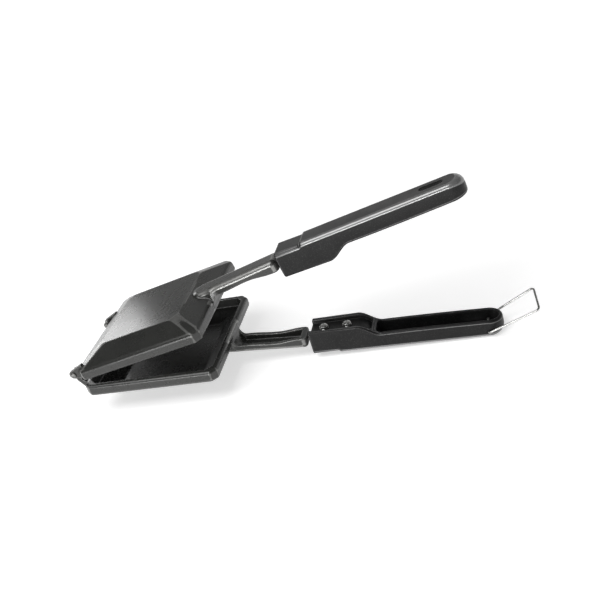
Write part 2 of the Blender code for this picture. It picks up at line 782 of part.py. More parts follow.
def make_screw(half, name, u, look):
    """A slotted pan-head screw, its head towards the other half."""
    seat = screw_seat(u) - WASHER_THICK - 2 * SEAT_GAP
    tip = tang_centre() + TANG_THICK / 2
    top = seat - SCREW_HEAD_RISE
    profile = [
        (SCREW_RADIUS - SCREW_TIP_CHAMFER, tip),
        (SCREW_RADIUS, tip - SCREW_TIP_CHAMFER),
        (SCREW_RADIUS, seat),
        (SCREW_HEAD_RADIUS, seat),
        (SCREW_HEAD_RADIUS, seat - SCREW_HEAD_EDGE),
    ]
    rise = SCREW_HEAD_RISE - SCREW_HEAD_EDGE
    for turn in (25, 50, 70, 84):
        angle = math.radians(turn)
        level = seat - SCREW_HEAD_EDGE - rise * math.sin(angle)
        profile.append((SCREW_HEAD_RADIUS * math.cos(angle), level))
    body = lathe(profile, lambda x, y, w: half.point(u + x, y, w))
    made = finish(name, body, half.parent, look)
    slot = box(half, (u - SCREW_SLOT_HALF, u + SCREW_SLOT_HALF),
               (-SCREW_HEAD_RADIUS - CUT_OVERRUN, SCREW_HEAD_RADIUS + CUT_OVERRUN),
               (top - CUT_OVERRUN, top + SCREW_SLOT_DEPTH))
    combine(made, tool(name + "_slot", slot, half.parent), 'DIFFERENCE')
    return made


def ring_solid(inner, outer, low, high, to_point):
    """A flat ring with a square section."""
    bm = bmesh.new()
    rows = []
    for radius, level in ((inner, low), (outer, low), (outer, high), (inner, high)):
        row = []
        for i in range(ROUND_STEPS):
            angle = 2 * math.pi * i / ROUND_STEPS
            row.append(bm.verts.new(to_point(radius * math.cos(angle), radius * math.sin(angle), level)))
        rows.append(row)
    for k in range(4):
        this, following = rows[k], rows[(k + 1) % 4]
        for i in range(ROUND_STEPS):
            j = (i + 1) % ROUND_STEPS
            bm.faces.new((this[i], this[j], following[j], following[i]))
    return bm


def make_washer(half, name, u, look):
    seat = screw_seat(u) - SEAT_GAP
    body = ring_solid(SCREW_RADIUS + SCREW_CLEARANCE, WASHER_RADIUS, seat - WASHER_THICK, seat,
                      lambda x, y, w: half.point(u + x, y, w))
    return finish(name, body, half.parent, look)


def make_hinge_point(side, steel, pin):
    """The rivet and its washer. The head is outside, the tail inside against the washer."""
    ranges = ear_ranges()[side]
    low = min(ranges["upper"][0], ranges["lower"][0])
    high = max(ranges["upper"][1], ranges["lower"][1])
    outward = -1 if side == "near" else 1
    head_face = (low if side == "near" else high) + outward * SEAT_GAP
    washer_face = (high if side == "near" else low) - outward * SEAT_GAP
    tail_face = washer_face - outward * (HINGE_WASHER_THICK + SEAT_GAP)

    def place(x, y, v):
        return Vector((x, v, y))

    profile = []
    for turn in (82, 60, 35, 12):
        angle = math.radians(turn)
        level = head_face + outward * RIVET_HEAD_RISE * math.sin(angle)
        profile.append((RIVET_HEAD_RADIUS * math.cos(angle), level))
    profile += [(RIVET_HEAD_RADIUS, head_face), (RIVET_RADIUS, head_face), (RIVET_RADIUS, tail_face),
                (RIVET_TAIL_RADIUS, tail_face),
                (RIVET_TAIL_RADIUS, tail_face - outward * RIVET_TAIL_RISE / 2),
                (RIVET_TAIL_RADIUS / 2, tail_face - outward * RIVET_TAIL_RISE)]
    finish("hinge_rivet_" + side, lathe(profile, place), pin, steel)
    outer_level, inner_level = washer_face, washer_face - outward * HINGE_WASHER_THICK
    body = ring_solid(RIVET_RADIUS + RIVET_CLEARANCE, HINGE_WASHER_RADIUS, outer_level, inner_level, place)
    finish("hinge_washer_" + side, body, pin, steel)


# Wire bail
def bend(before, corner, after, radius, steps):
    """Points of a rounded corner between two straight runs."""
    first = (before - corner).normalized()
    second = (after - corner).normalized()
    half_angle = first.angle(second) / 2
    back = radius / math.tan(half_angle)
    centre = corner + (first + second).normalized() * radius / math.sin(half_angle)
    start = corner + first * back - centre
    end = corner + second * back - centre
    sweep = start.angle(end)
    points = []
    for i in range(steps + 1):
        share = i / steps
        points.append(centre + (start * math.sin((1 - share) * sweep) + end * math.sin(share * sweep))
                      / math.sin(sweep))
    return points


def bail_path():
    """The wire's middle line about its pivot: tail, leg, crossbar, leg, tail."""
    wall = handle_half_width(BAIL_PIVOT_U)
    side = wall + SIDE_BULGE + BAIL_SIDE_GAP + BAIL_WIRE_RADIUS
    tail = wall - HANDLE_WALL - BAIL_TAIL
    near = BAIL_REST - BAIL_SKEW
    far = BAIL_REST + BAIL_SKEW
    corners = [
        Vector((0.0, -tail, 0.0)),
        Vector((0.0, -side, 0.0)),
        Vector((BAIL_REACH * math.cos(near), -side, BAIL_REACH * math.sin(near))),
        Vector((BAIL_REACH * math.cos(far), side, BAIL_REACH * math.sin(far))),
        Vector((0.0, side, 0.0)),
        Vector((0.0, tail, 0.0)),
    ]
    path = [corners[0]]
    for i in range(1, len(corners) - 1):
        radius = BAIL_END_CORNER if i in (1, len(corners) - 2) else BAIL_CORNER
        path += bend(corners[i - 1], corners[i], corners[i + 1], radius, BAIL_CORNER_STEPS)
    path.append(corners[-1])
    return path


def tube(path, radius, sides):
    """A round tube along a path, its rings carried along without twist."""
    rings = []
    directions = [(after - before).normalized() for before, after in zip(path, path[1:])]
    between = [(a + b).normalized() for a, b in zip(directions, directions[1:])]
    directions = [directions[0]] + between + [directions[-1]]
    across = directions[0].orthogonal().normalized()
    for point, direction in zip(path, directions):
        across = (across - direction * across.dot(direction)).normalized()
        other = direction.cross(across)
        ring = []
        for i in range(sides):
            angle = 2 * math.pi * i / sides
            ring.append(point + across * radius * math.cos(angle) + other * radius * math.sin(angle))
        rings.append(ring)
    return loft(rings)


def empty(name, location, parent=None):
    made = bpy.data.objects.new(name, None)
    made.location = location
    made.parent = parent
    bpy.context.scene.collection.objects.link(made)
    return made


def build():
    clear_scene()
    coating = material("nonstick_coating", (0.085, 0.087, 0.080), 0.42, 0.55)
    bakelite = material("black_bakelite", (0.018, 0.018, 0.019), 0.30, 0.0)
    steel = material("bright_steel", (0.62, 0.62, 0.60), 0.22, 1.0)
    dull_steel = material("dark_steel", (0.16, 0.16, 0.155), 0.42, 0.9)

    lower_parent = empty("lower_half", (0.0, 0.0, PLATEAU))
    pin = empty("hinge_pins", (HINGE_U, 0.0, PLATEAU + HINGE_REST_HEIGHT))
    lid = empty("upper_half", (0.0, 0.0, 0.0), pin)
    lid.rotation_euler = (0.0, -REST_OPENING, 0.0)
    bail_parent = empty("bail_pivot", (BAIL_PIVOT_U, 0.0, PLATEAU - bail_pivot_height()))

    lower = Half("lower", lower_parent, (0.0, 0.0), -1)
    upper = Half("upper", lid, (HINGE_U, HINGE_LIFT), 1)
    for half in (lower, upper):
        make_pan(half, half is upper, coating)
        make_handle(half, half is lower, bakelite)
        for place, u in zip(("front", "rear"), screw_places()):
            make_screw(half, half.name + "_" + place + "_screw", u, steel)
            make_washer(half, half.name + "_" + place + "_washer", u, steel)
    for side in ("near", "far"):
        make_hinge_point(side, dull_steel, pin)
    finish("wire_bail", tube(bail_path(), BAIL_WIRE_RADIUS, WIRE_SIDES), bail_parent, steel)


build()
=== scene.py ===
"""Looks of the stovetop sandwich toaster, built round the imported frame.

Each casting and moulding is written as one distance field in its half's own frame u, v, w.
u runs from the hinge towards the handles, v to the far side, and w outward from the face where the pans meet.
The fields are meshed finely, so that edges are round and joins are filleted as in cast and moulded pieces.
"""

import math

import bmesh
import bpy
import numpy as np
from mathutils import Matrix, Vector


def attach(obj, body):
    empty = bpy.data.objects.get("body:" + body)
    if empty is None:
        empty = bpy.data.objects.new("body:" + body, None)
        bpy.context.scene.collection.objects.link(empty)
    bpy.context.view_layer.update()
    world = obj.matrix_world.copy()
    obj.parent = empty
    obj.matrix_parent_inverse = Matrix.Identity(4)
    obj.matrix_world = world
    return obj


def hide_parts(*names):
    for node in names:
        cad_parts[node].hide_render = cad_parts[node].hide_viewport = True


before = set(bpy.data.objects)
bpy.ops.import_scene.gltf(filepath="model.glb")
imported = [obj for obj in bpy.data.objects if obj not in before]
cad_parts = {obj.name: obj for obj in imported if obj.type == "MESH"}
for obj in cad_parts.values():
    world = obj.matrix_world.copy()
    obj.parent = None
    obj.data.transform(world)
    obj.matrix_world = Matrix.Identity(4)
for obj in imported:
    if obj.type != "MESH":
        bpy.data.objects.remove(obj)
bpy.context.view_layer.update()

# Pan casting
HALF_SIDE = 0.068
RIM_WALL = 0.0108
BEVEL_RISE = 0.0096
BEVEL_INSET = 0.024
PLATEAU = RIM_WALL + BEVEL_RISE
SLOPE = BEVEL_RISE / BEVEL_INSET
SLOPE_SINE = SLOPE / math.hypot(1, SLOPE)
RIM_CHAMFER = 0.0060
PLATEAU_CHAMFER = 0.0050
RIM_CORNER = 0.0010
PLATEAU_CORNER = 0.0085
RIM_WIDTH = 0.0055
RIM_DRAFT = 0.0005
CAST_WALL = 0.0030
INNER_START = RIM_WIDTH + RIM_DRAFT
INNER_WALL_TOP = RIM_WALL - CAST_WALL * math.hypot(1, SLOPE) + INNER_START * SLOPE
CAVITY_FLOOR = PLATEAU - CAST_WALL
CHAMFER_ROUND = 0.0008
WALL_ROUND = 0.0030
PLATEAU_ROUND = 0.0004
RIM_ROUND = 0.0034
BOWL_WALL_ROUND = 0.0012
BOWL_FLOOR_ROUND = 0.0006
BOWL_LIP_ROUND = 0.0006

# Cast arm
ARM_END = 0.140
ARM_ROOT = 0.046
ARM_ROOT_ROUND = 0.009
ARM_WEB_HALF = 0.0106
ARM_RIM_HALF = 0.0111
ARM_WEB_SINK = 0.0010
ARM_WEB_RISE = 0.0064
ARM_WEB = 0.0034
ARM_FLANGE = 0.0028
ARM_NOSE = 0.0044
ARM_END_WALL = 0.0060
ARM_ROUND = 0.0050
ARM_LIP_ROUND = 0.0006
ARM_FILLET = 0.0016
FLARE_HALF = 0.0042
FLARE_REACH = 0.0085
FLARE_LAP = 0.0060
RIM_LINE_START = 0.0036
RIM_LINE_LOW = 0.0125
RIM_LINE_CREST = 0.0152
RIM_LINE_END = 0.0138
ROOT_FILLET = 0.0085
FILLET_END = HALF_SIDE + ROOT_FILLET
CREST_U = FILLET_END + (ARM_END - FILLET_END) * 0.55
DIP_U = FILLET_END + (ARM_END - FILLET_END) * 0.86
CHANNEL_START = HALF_SIDE + 0.0007
CHANNEL_DRAFT = 0.0011
CHANNEL_DRAFT_DEPTH = 0.0150
CHANNEL_END_ROUND = 0.0030
CHANNEL_CEILING_ROUND = 0.0010
CHANNEL_START_ROUND = 0.0003
CHANNEL_LIP_ROUND = 0.0005
TANG_HALF = 0.0037
TANG_THICK = 0.0038
TANG_END = ARM_END + 0.050
TANG_MIDDLE = PLATEAU - 0.0038
TANG_LAP = 0.0030
TANG_FILLET = 0.0005

# Hinge
HINGE_U = -0.075
HINGE_LIFT = 0.0071
HINGE_REST = 0.0110
SLOT_TRAVEL = 0.0034
REST_OPENING = math.radians(11.5)
EAR_THICK = 0.0042
EAR_GAP = 0.0005
EAR_PITCH = EAR_THICK + EAR_GAP
NEAR_EAR_V = -HALF_SIDE + 0.0065
FAR_EAR_V = 0.0250
UPPER_EAR_ROUND = 0.0044
LOWER_EAR_ROUND = 0.0033
RIVET_HOLE = 0.0018
EAR_EDGE = 0.0005
EAR_FILLET = 0.0007
EAR_ZONE_END = -HALF_SIDE + 0.0120
EAR_SINK = 0.0030
EAR_LAP = 0.0062
EAR_STANDS_OVER = 0.0017
EAR_ARC_STEPS = 24
UPPER_EAR_ARC = (112, 285)
LOWER_EAR_ARC = (180, 360)
EAR_RIM_W = 0.0012
EAR_ROOT_W = 0.0027
EAR_FOOT_CHAMFER = 0.0015
LOWER_EAR_BELLY = 0.0056
LOWER_EAR_BELLY_SHARES = ((0.6, 0.65), (1.0, 0.33))
LOWER_EAR_NECK_SHARE = 0.55
HOLE_EDGE = 0.0002
EARS = {
    "upper": (NEAR_EAR_V, FAR_EAR_V + EAR_PITCH),
    "lower": (NEAR_EAR_V + EAR_PITCH, FAR_EAR_V),
}

# Moulded handles
HANDLE_FRONT = 0.1440
HANDLE_END = 0.3205
LUG_HALF = 0.01315
GRIP_END_HALF = 0.0124
END_CENTRE = HANDLE_END - GRIP_END_HALF
LUG_OUTER = TANG_MIDDLE + TANG_THICK / 2 + 0.0130
LUG_INNER = LUG_OUTER - 0.0244
THROAT_START = HANDLE_FRONT + 0.0452
THROAT_LENGTH = 0.0230
THROAT_END = THROAT_START + THROAT_LENGTH
THROAT_STEP = 0.0100
GRIP_DROOP = 0.0026
GRIP_DROOP_LENGTH = 0.100
STEP_START = HANDLE_FRONT + 0.0243
STEP_LENGTH = 0.0030
STEP_RISE = 0.0016
OUTER_DROOP = 0.0033
SIDE_EDGE = 0.0036
END_EDGE = 0.0065
LUG_INNER_EDGE = 0.0008
GRIP_INNER_EDGE = 0.0021
SIDE_BULGE = 0.0004
HANDLE_WALL = 0.0029
HANDLE_SKIN = 0.0036
RECESS_DEPTH = 0.0045
CHANNEL_CORNER = 0.0040
CHANNEL_FROM = THROAT_START + 0.0174
RECESS_END = CHANNEL_FROM - CHANNEL_CORNER
SLOT_END = HANDLE_END - 0.0168
SLOT_START = SLOT_END - 0.0205
SLOT_HALF = 0.0034
SLOT_DRAFT = 0.3
SLOT_EDGE = 0.0007
DROOP_POWER = 1.6
LUG_CORNER_ROUND = 0.0018
WALL_DRAFT = 0.0008
HOLLOW_EDGE = 0.0009
TRAY_FLOOR_ROUND = 0.0008
GRIP_FLOOR_ROUND = 0.0012

# Fasteners and bail
SCREW_PLACES = (0.1572, 0.1797)
SCREW_RADIUS = 0.0019
SCREW_HEAD = 0.0040
SCREW_RISE = 0.0026
SCREW_SEAT = LUG_INNER + RECESS_DEPTH
WASHER_RADIUS = 0.0044
WASHER_THICK = 0.0008
WASHER_EDGE = 0.00015
SCREW_RIM = 0.0010
SCREW_TIP_CHAMFER = 0.0005
SCREW_RIM_CHAMFER = (0.0001, 0.0002)
SCREW_DOME_TURNS = range(8, 88, 8)
DRIVER_SLOT_HALF = 0.0006
DRIVER_SLOT_REACH = 0.0060
DRIVER_SLOT_DEPTH = 0.0012
DRIVER_SLOT_ABOVE = 0.0020
SEAT_GAP = 0.0003
RIVET_RADIUS = 0.0015
RIVET_HEAD_RADIUS = 0.0029
RIVET_HEAD_RIM = 0.0002
RIVET_HEAD_DOME = 0.0014
RIVET_DOME_TURNS = range(86, 0, -8)
RIVET_TAIL = ((0.0024, 0.0), (0.0025, 0.0001), (0.0025, 0.0005), (0.0022, 0.0009), (0.0013, 0.0012))
HINGE_WASHER_RADIUS = 0.0034
HINGE_WASHER_THICK = 0.0006
HINGE_WASHER_EDGE = 0.0001
ROUND_STEPS = 64
SHARP_ANGLE = math.radians(40)
SCREW_SHARP_ANGLE = math.radians(35)
BAIL_PIVOT_U = 0.3069
BAIL_PIVOT_Z = -0.010005
BAIL_REACH = 0.0490
BAIL_REST = math.radians(25.0)
BAIL_SKEW = math.radians(3.5)
WIRE_RADIUS = 0.0010
WIRE_SIDES = 24
WIRE_END_BACK = 0.0003
WIRE_END_SHARE = 0.75
BAIL_SIDE_GAP = 0.0005
BAIL_TAIL_SHORT = 0.0022
BAIL_TAIL_BEND = 0.0022
BAIL_CORNER_BEND = 0.0034
BAIL_BEND_STEPS = 10

# Places of the two halves in the world
LID = (Matrix.Translation((HINGE_U, 0, PLATEAU + HINGE_REST)) @ Matrix.Rotation(-REST_OPENING, 4, 'Y')
       @ Matrix.Translation((-HINGE_U, 0, -HINGE_LIFT)))
TO_WORLD = {
    "upper": LID,
    "lower": Matrix.Translation((0, 0, PLATEAU)) @ Matrix.Diagonal((1, 1, -1, 1)),
}

# Meshing: steps of the grids and the boxes that they fill, then reaches and moves in those steps
PAN_STEP = 0.00065
PAN_BOX_START = {"lower": (-0.0815, -0.0700, -0.0160), "upper": (-0.0815, -0.0700, -0.0020)}
PAN_BOX_END = (0.1930, 0.0700, 0.0290)
HANDLE_STEP = 0.00060
HANDLE_BOX_START = (0.1420, -0.0150, 0.0050)
HANDLE_BOX_END = (0.3230, 0.0150, 0.0390)
FAR_AWAY = 1e9
TINY_SLOPE = 1e-9
TINY_MOVE = 1e-12
TINY_REACH = 1e-6
BLOCK = 6
BAND_BLOCKS = 1.9
PULLS = 3
PULL_REACH = 0.05
PULL_LIMIT = 0.6
LEAST_SLOPE = 0.05
NORMAL_REACH = 0.15
KEPT_SHARE = 0.30
MERGE_REACH = 0.000005
SMALL_FACE = 0.0009
LARGE_FACE_INSET = 0.0016

# Rounded edges, as the looks read them to paint highlights on them, and on the casting also wear. A bend of 1
# is an edge of this radius.
EDGE_RADIUS = 0.0022
EDGE_REACH = 0.0010
EDGE_MOST = 3
BROAD_START, BROAD_RISE = 0.22, 0.20
BROAD_END, BROAD_FALL = 0.95, 0.25
# Half the width of the middle strip, along the arms and handles, whose broad edges get the painted highlight.
HANDLE_STRIP_HALF = 0.020

# Camera, as solved from the photograph
IMAGE_WIDTH = 600
FOCAL_PIXELS = 807.9
SENSOR = 36.0
NEAR_CLIP = 0.01
EYE = Vector((0.34987, -0.62651, 0.39898))
VIEW_LINE = Vector((-0.2767, 0.8353, -0.4751)).normalized()
UP_LINE = Vector((0.1361, 0.5235, 0.8411)).normalized()

# Floor and world. The world's ramps run between two parts of the view direction.
FLOOR_Z = -0.0165
FLOOR_SIZE = 8.0
FLOOR_COLOUR = (0.90, 0.90, 0.90)
FLOOR_ROUGHNESS = 0.9
FLOOR_LIFT = 0.50
FLOOR_FAR_LIFT = 0.90
FLOOR_RAMP = (0.25, 0.90)
ROOM = 0.22
BACKDROP = 1.0
DARK_SIDE = 0.06
DIM_FRONT = 0.45
OVERHEAD = 0.12
OVERHEAD_RAMP = (0.28, 0.46)
SIDE_RAMP = (-0.58, -0.36)
FRONT_RAMP = (-0.2, 0.4)
HORIZON_RAMP = (0.06, 0.18)


# Distance helpers. Each takes and gives arrays of metres.
def lerp(a, b, share):
    """The value between a (0) and b (1)."""
    return a + (b - a) * share


def ease(share):
    """Goes from 0 to 1 as its share does, with a soft start and end."""
    return (1 - np.cos(np.pi * np.clip(share, 0, 1))) / 2


def cut_round(a, b, r):
    """The overlap of two solids, its edge rounded by r."""
    return np.minimum(np.maximum(a, b), -r) + np.hypot(np.maximum(a + r, 0), np.maximum(b + r, 0))


def join_round(a, b, r):
    """The union of two solids, with a fillet of r between them."""
    return np.maximum(np.minimum(a, b), r) - np.hypot(np.maximum(r - a, 0), np.maximum(r - b, 0))


def polygon(x, y, corners):
    """Signed distance to a closed outline."""
    best = np.full(x.shape, FAR_AWAY)
    inside = np.zeros(x.shape, bool)
    for (ax, ay), (bx, by) in zip(corners, corners[1:] + corners[:1]):
        ex, ey = bx - ax, by - ay
        wx, wy = x - ax, y - ay
        along = np.clip((wx * ex + wy * ey) / (ex * ex + ey * ey), 0, 1)
        best = np.minimum(best, np.hypot(wx - ex * along, wy - ey * along))
        if ey:
            crosses = ((ay > y) != (by > y)) & (x < ex * (y - ay) / ey + ax)
            inside ^= crosses
    return np.where(inside, -best, best)


def arc(centre, radius, start, end, steps):
    """Corners along an arc, its angles in degrees."""
    turns = [math.radians(start + (end - start) * i / steps) for i in range(steps + 1)]
    return [(centre[0] + radius * math.cos(t), centre[1] + radius * math.sin(t)) for t in turns]


def stadium(x, y, start, end, radius):
    """Signed distance to a round-ended slot along x."""
    middle, reach = (start + end) / 2, (end - start) / 2 - radius
    return np.hypot(np.maximum(np.abs(x - middle) - reach, 0), y) - radius


# Pan
def plan(u, v, share):
    """Distance to the pan's plan outline, which goes from the rim (0) to the plateau (1)."""
    side = HALF_SIDE - BEVEL_INSET * share
    held = np.clip(share, 0, 1)
    corner = lerp(RIM_CORNER, PLATEAU_CORNER, held)
    chamfer = lerp(RIM_CHAMFER, PLATEAU_CHAMFER, held)
    u, v = np.abs(u), np.abs(v)
    square = cut_round(u - side, v - side, corner)
    return cut_round(square, (u + v - 2 * side + chamfer) / math.sqrt(2), CHAMFER_ROUND)


def bowl_outside(u, v, w):
    """The pan's upright wall, its bevels and its flat face, with the solid under them."""
    wall = plan(u, v, 0.0)
    bevel = plan(u, v, (w - RIM_WALL) / BEVEL_RISE) * SLOPE_SINE
    body = cut_round(wall, bevel, WALL_ROUND)
    body = cut_round(body, w - PLATEAU, PLATEAU_ROUND)
    return cut_round(body, -w, RIM_ROUND)


def bowl_inside(u, v, w):
    """The space that the bowl holds."""
    wall = plan(u, v, (RIM_WIDTH + RIM_DRAFT * w / INNER_WALL_TOP) / BEVEL_INSET)
    bevel = plan(u, v, (INNER_START + (w - INNER_WALL_TOP) / SLOPE) / BEVEL_INSET) * SLOPE_SINE
    return cut_round(cut_round(wall, bevel, BOWL_WALL_ROUND), w - CAVITY_FLOOR, BOWL_FLOOR_ROUND)


def web_height(u):
    """w of the arm's back, which rises from the pan to the handle."""
    return PLATEAU - ARM_WEB_SINK + ARM_WEB_RISE * (u - ARM_ROOT) / (ARM_END - ARM_ROOT)


def rim_line(u):
    """w of the flanges' rim, from the pan's wall to the arm's end."""
    share = np.clip((u - HALF_SIDE) / ROOT_FILLET, 0, 1)
    start = lerp(RIM_LINE_START, RIM_LINE_LOW, np.sqrt(1 - (1 - share) ** 2))
    rise = lerp(RIM_LINE_LOW, RIM_LINE_CREST, ease((u - FILLET_END) / (CREST_U - FILLET_END)))
    fall = lerp(RIM_LINE_CREST, RIM_LINE_END, ease((u - CREST_U) / (DIP_U - CREST_U)))
    return np.where(u < FILLET_END, start, np.where(u < CREST_U, rise, fall))


def flare(u):
    """How much wider each side of the arm is where it meets the pan's wall."""
    reach = np.where(u > HALF_SIDE, FLARE_REACH, FLARE_LAP)
    return FLARE_HALF * (1 - np.minimum(np.abs(u - HALF_SIDE) / reach, 1)) ** 2


def arm_outside(u, v, w):
    """The arm as a solid bar, from under the pan's flat face to its nose in the handle."""
    top, base = web_height(u), rim_line(u)
    share = np.clip((w - base) / (top - base), 0, 1)
    half = lerp(ARM_RIM_HALF + flare(u), ARM_WEB_HALF, share)
    back = np.maximum((ARM_ROOT + ARM_ROOT_ROUND - u) / ARM_ROOT_ROUND, 0)
    side = (np.hypot(back, v / half) - 1) * np.where(back > 0, ARM_ROOT_ROUND, half)
    crown = cut_round(w - top, u - ARM_END, ARM_NOSE)
    body = cut_round(side, crown, ARM_ROUND)
    return cut_round(body, base - w, ARM_LIP_ROUND)


def arm_hollow(u, v, w):
    """The channel between the arm's flanges."""
    share = np.clip((u - CHANNEL_START) / ROOT_FILLET, 0, 1)
    full = web_height(u) - ARM_WEB
    ceiling = lerp(RIM_LINE_START, full, np.sqrt(1 - (1 - share) ** 2))
    draft = CHANNEL_DRAFT * np.clip(w / CHANNEL_DRAFT_DEPTH, 0, 1)
    side = np.abs(v) - (ARM_RIM_HALF - ARM_FLANGE + flare(u) - draft)
    inner = cut_round(w - ceiling, u - (ARM_END - ARM_END_WALL), CHANNEL_END_ROUND)
    return cut_round(cut_round(side, inner, CHANNEL_CEILING_ROUND), CHANNEL_START - u, CHANNEL_START_ROUND)


def ear_field(u, v, w, low, outline):
    """A flat hinge ear, from v = low."""
    return cut_round(polygon(u, w, outline), np.abs(v - low - EAR_THICK / 2) - EAR_THICK / 2, EAR_EDGE)


def upper_ear_outline():
    wall, reach = -HALF_SIDE, -HALF_SIDE + EAR_LAP
    over = RIM_WALL + EAR_LAP * SLOPE
    tip = arc((HINGE_U, HINGE_LIFT), UPPER_EAR_ROUND, *UPPER_EAR_ARC, EAR_ARC_STEPS)
    root = [(wall, EAR_RIM_W), (wall + EAR_SINK, EAR_ROOT_W), (wall + EAR_SINK, RIM_WALL - CAST_WALL / 2)]
    lap = [(reach, over - CAST_WALL / 2), (reach, over + EAR_STANDS_OVER)]
    return tip + root + lap


def lower_ear_outline():
    wall, top, foot = -HALF_SIDE, -HINGE_REST, RIM_WALL - EAR_RIM_W
    tip = arc((HINGE_U, top), LOWER_EAR_ROUND, *LOWER_EAR_ARC, EAR_ARC_STEPS)
    root = [(HINGE_U + LOWER_EAR_ROUND, -EAR_RIM_W), (wall, EAR_RIM_W), (wall + EAR_SINK, EAR_ROOT_W),
            (wall + EAR_SINK, foot - EAR_FOOT_CHAMFER), (wall, foot)]
    belly = [(wall - LOWER_EAR_BELLY * out, RIM_WALL * up) for out, up in LOWER_EAR_BELLY_SHARES]
    neck = [(HINGE_U - LOWER_EAR_ROUND * LOWER_EAR_NECK_SHARE, -EAR_RIM_W),
            (HINGE_U - LOWER_EAR_ROUND, top + SLOT_TRAVEL)]
    return tip + root + belly + neck


def pan_field(half):
    """One casting: bowl, arm, tang and ears, less the bowl's space, the channel and the holes."""
    outline = upper_ear_outline() if half == "upper" else lower_ear_outline()

    def ears(u, v, w, body):
        near = u < EAR_ZONE_END
        if not near.any():
            return body
        un, vn, wn, part = u[near], v[near], w[near], body[near]
        for low in EARS[half]:
            part = join_round(part, ear_field(un, vn, wn, low, outline), EAR_FILLET)
        if half == "upper":
            hole = np.hypot(un - HINGE_U, wn - HINGE_LIFT) - RIVET_HOLE
        else:
            rise = np.clip(wn, -HINGE_REST, -HINGE_REST + SLOT_TRAVEL)
            hole = np.hypot(un - HINGE_U, wn - rise) - RIVET_HOLE
        body[near] = cut_round(part, -hole, HOLE_EDGE)
        return body

    def field(u, v, w):
        body = join_round(bowl_outside(u, v, w), arm_outside(u, v, w), ARM_FILLET)
        body = cut_round(body, -bowl_inside(u, v, w), BOWL_LIP_ROUND)
        body = cut_round(body, -arm_hollow(u, v, w), CHANNEL_LIP_ROUND)
        tang = np.maximum(np.abs(v) - TANG_HALF, np.abs(w - TANG_MIDDLE) - TANG_THICK / 2)
        tang = np.maximum(tang, np.maximum(ARM_END - TANG_LAP - u, u - TANG_END))
        body = join_round(body, tang, TANG_FILLET)
        for place in SCREW_PLACES:
            hole = np.hypot(u - place, v) - SCREW_RADIUS - SEAT_GAP
            hole = np.maximum(hole, np.abs(w - TANG_MIDDLE) - TANG_THICK)
            body = np.maximum(body, -hole)
        return ears(u, v, w, body)
    return field


# Handle
def handle_outer(u):
    """w of the handle's back."""
    step = STEP_RISE * ease((u - STEP_START) / STEP_LENGTH)
    return LUG_OUTER + step + OUTER_DROOP * np.maximum(u - STEP_START, 0) / (HANDLE_END - STEP_START)


def handle_inner(u):
    """w of the handle's open side."""
    droop = GRIP_DROOP * (np.maximum(u - THROAT_END, 0) / GRIP_DROOP_LENGTH) ** DROOP_POWER
    return LUG_INNER + THROAT_STEP * ease((u - THROAT_START) / THROAT_LENGTH) + droop


def handle_half(u):
    """Half the handle's width."""
    return lerp(LUG_HALF, GRIP_END_HALF, np.clip((u - THROAT_START) / (END_CENTRE - THROAT_START), 0, 1))


def handle_field(with_bail):
    """One moulding: its body, less the tray, the grip's hollow, the tang's pocket, the bores and the slot."""
    def field(u, v, w):
        low, high, half = handle_inner(u), handle_outer(u), handle_half(u)
        past = np.maximum(u - END_CENTRE, 0)
        share = np.clip((w - low) / (high - low), 0, 1)
        out = np.hypot(past, v)
        side = np.where(past > 0, out - GRIP_END_HALF, np.abs(v) - half)
        side = side - SIDE_BULGE * np.sin(np.pi * share)
        turn = past / np.maximum(out, TINY_REACH)
        outer_edge = lerp(SIDE_EDGE, END_EDGE, turn ** 2)
        inner_edge = lerp(LUG_INNER_EDGE, GRIP_INNER_EDGE, ease((u - THROAT_START) / THROAT_LENGTH))
        body = cut_round(side, w - high, outer_edge)
        body = cut_round(body, cut_round(HANDLE_FRONT - u, low - w, LUG_CORNER_ROUND), inner_edge)
        inner = half - HANDLE_WALL
        walls = np.abs(v) - inner + WALL_DRAFT * np.clip((w - low) / RECESS_DEPTH, 0, 1)
        tray = cut_round(walls, u - RECESS_END, CHANNEL_CORNER)
        tray = cut_round(tray, w - low - RECESS_DEPTH, TRAY_FLOOR_ROUND)
        body = cut_round(body, -tray, HOLLOW_EDGE)
        draft = WALL_DRAFT * share
        grip = np.where(past > 0, out - GRIP_END_HALF + HANDLE_WALL, np.abs(v) - inner) + draft
        grip = cut_round(grip, CHANNEL_FROM - u + draft, CHANNEL_CORNER)
        grip = cut_round(grip, w - high + HANDLE_SKIN, GRIP_FLOOR_ROUND)
        body = cut_round(body, -grip, HOLLOW_EDGE)
        pocket = np.maximum(np.abs(v) - TANG_HALF, np.abs(w - TANG_MIDDLE) - TANG_THICK / 2)
        pocket = np.maximum(pocket, u - TANG_END) - SEAT_GAP
        body = cut_round(body, -pocket, HOLE_EDGE)
        for place in SCREW_PLACES:
            bore = np.maximum(np.hypot(u - place, v) - SCREW_RADIUS - SEAT_GAP, w - TANG_MIDDLE)
            body = cut_round(body, -bore, HOLE_EDGE)
        slot = stadium(u, v, SLOT_START, SLOT_END, SLOT_HALF) - SLOT_DRAFT * np.clip(high - w, 0, HANDLE_SKIN)
        body = cut_round(body, -slot, SLOT_EDGE)
        if with_bail:
            bore = np.hypot(u - BAIL_PIVOT_U, w - (PLATEAU - BAIL_PIVOT_Z)) - WIRE_RADIUS - SEAT_GAP
            body = cut_round(body, -bore, HOLE_EDGE)
        return body
    return field


# Meshing of the fields
def samples(axes):
    """Every point of a grid, as one flat array for each axis."""
    return [grid.ravel() for grid in np.meshgrid(*axes, indexing="ij")]


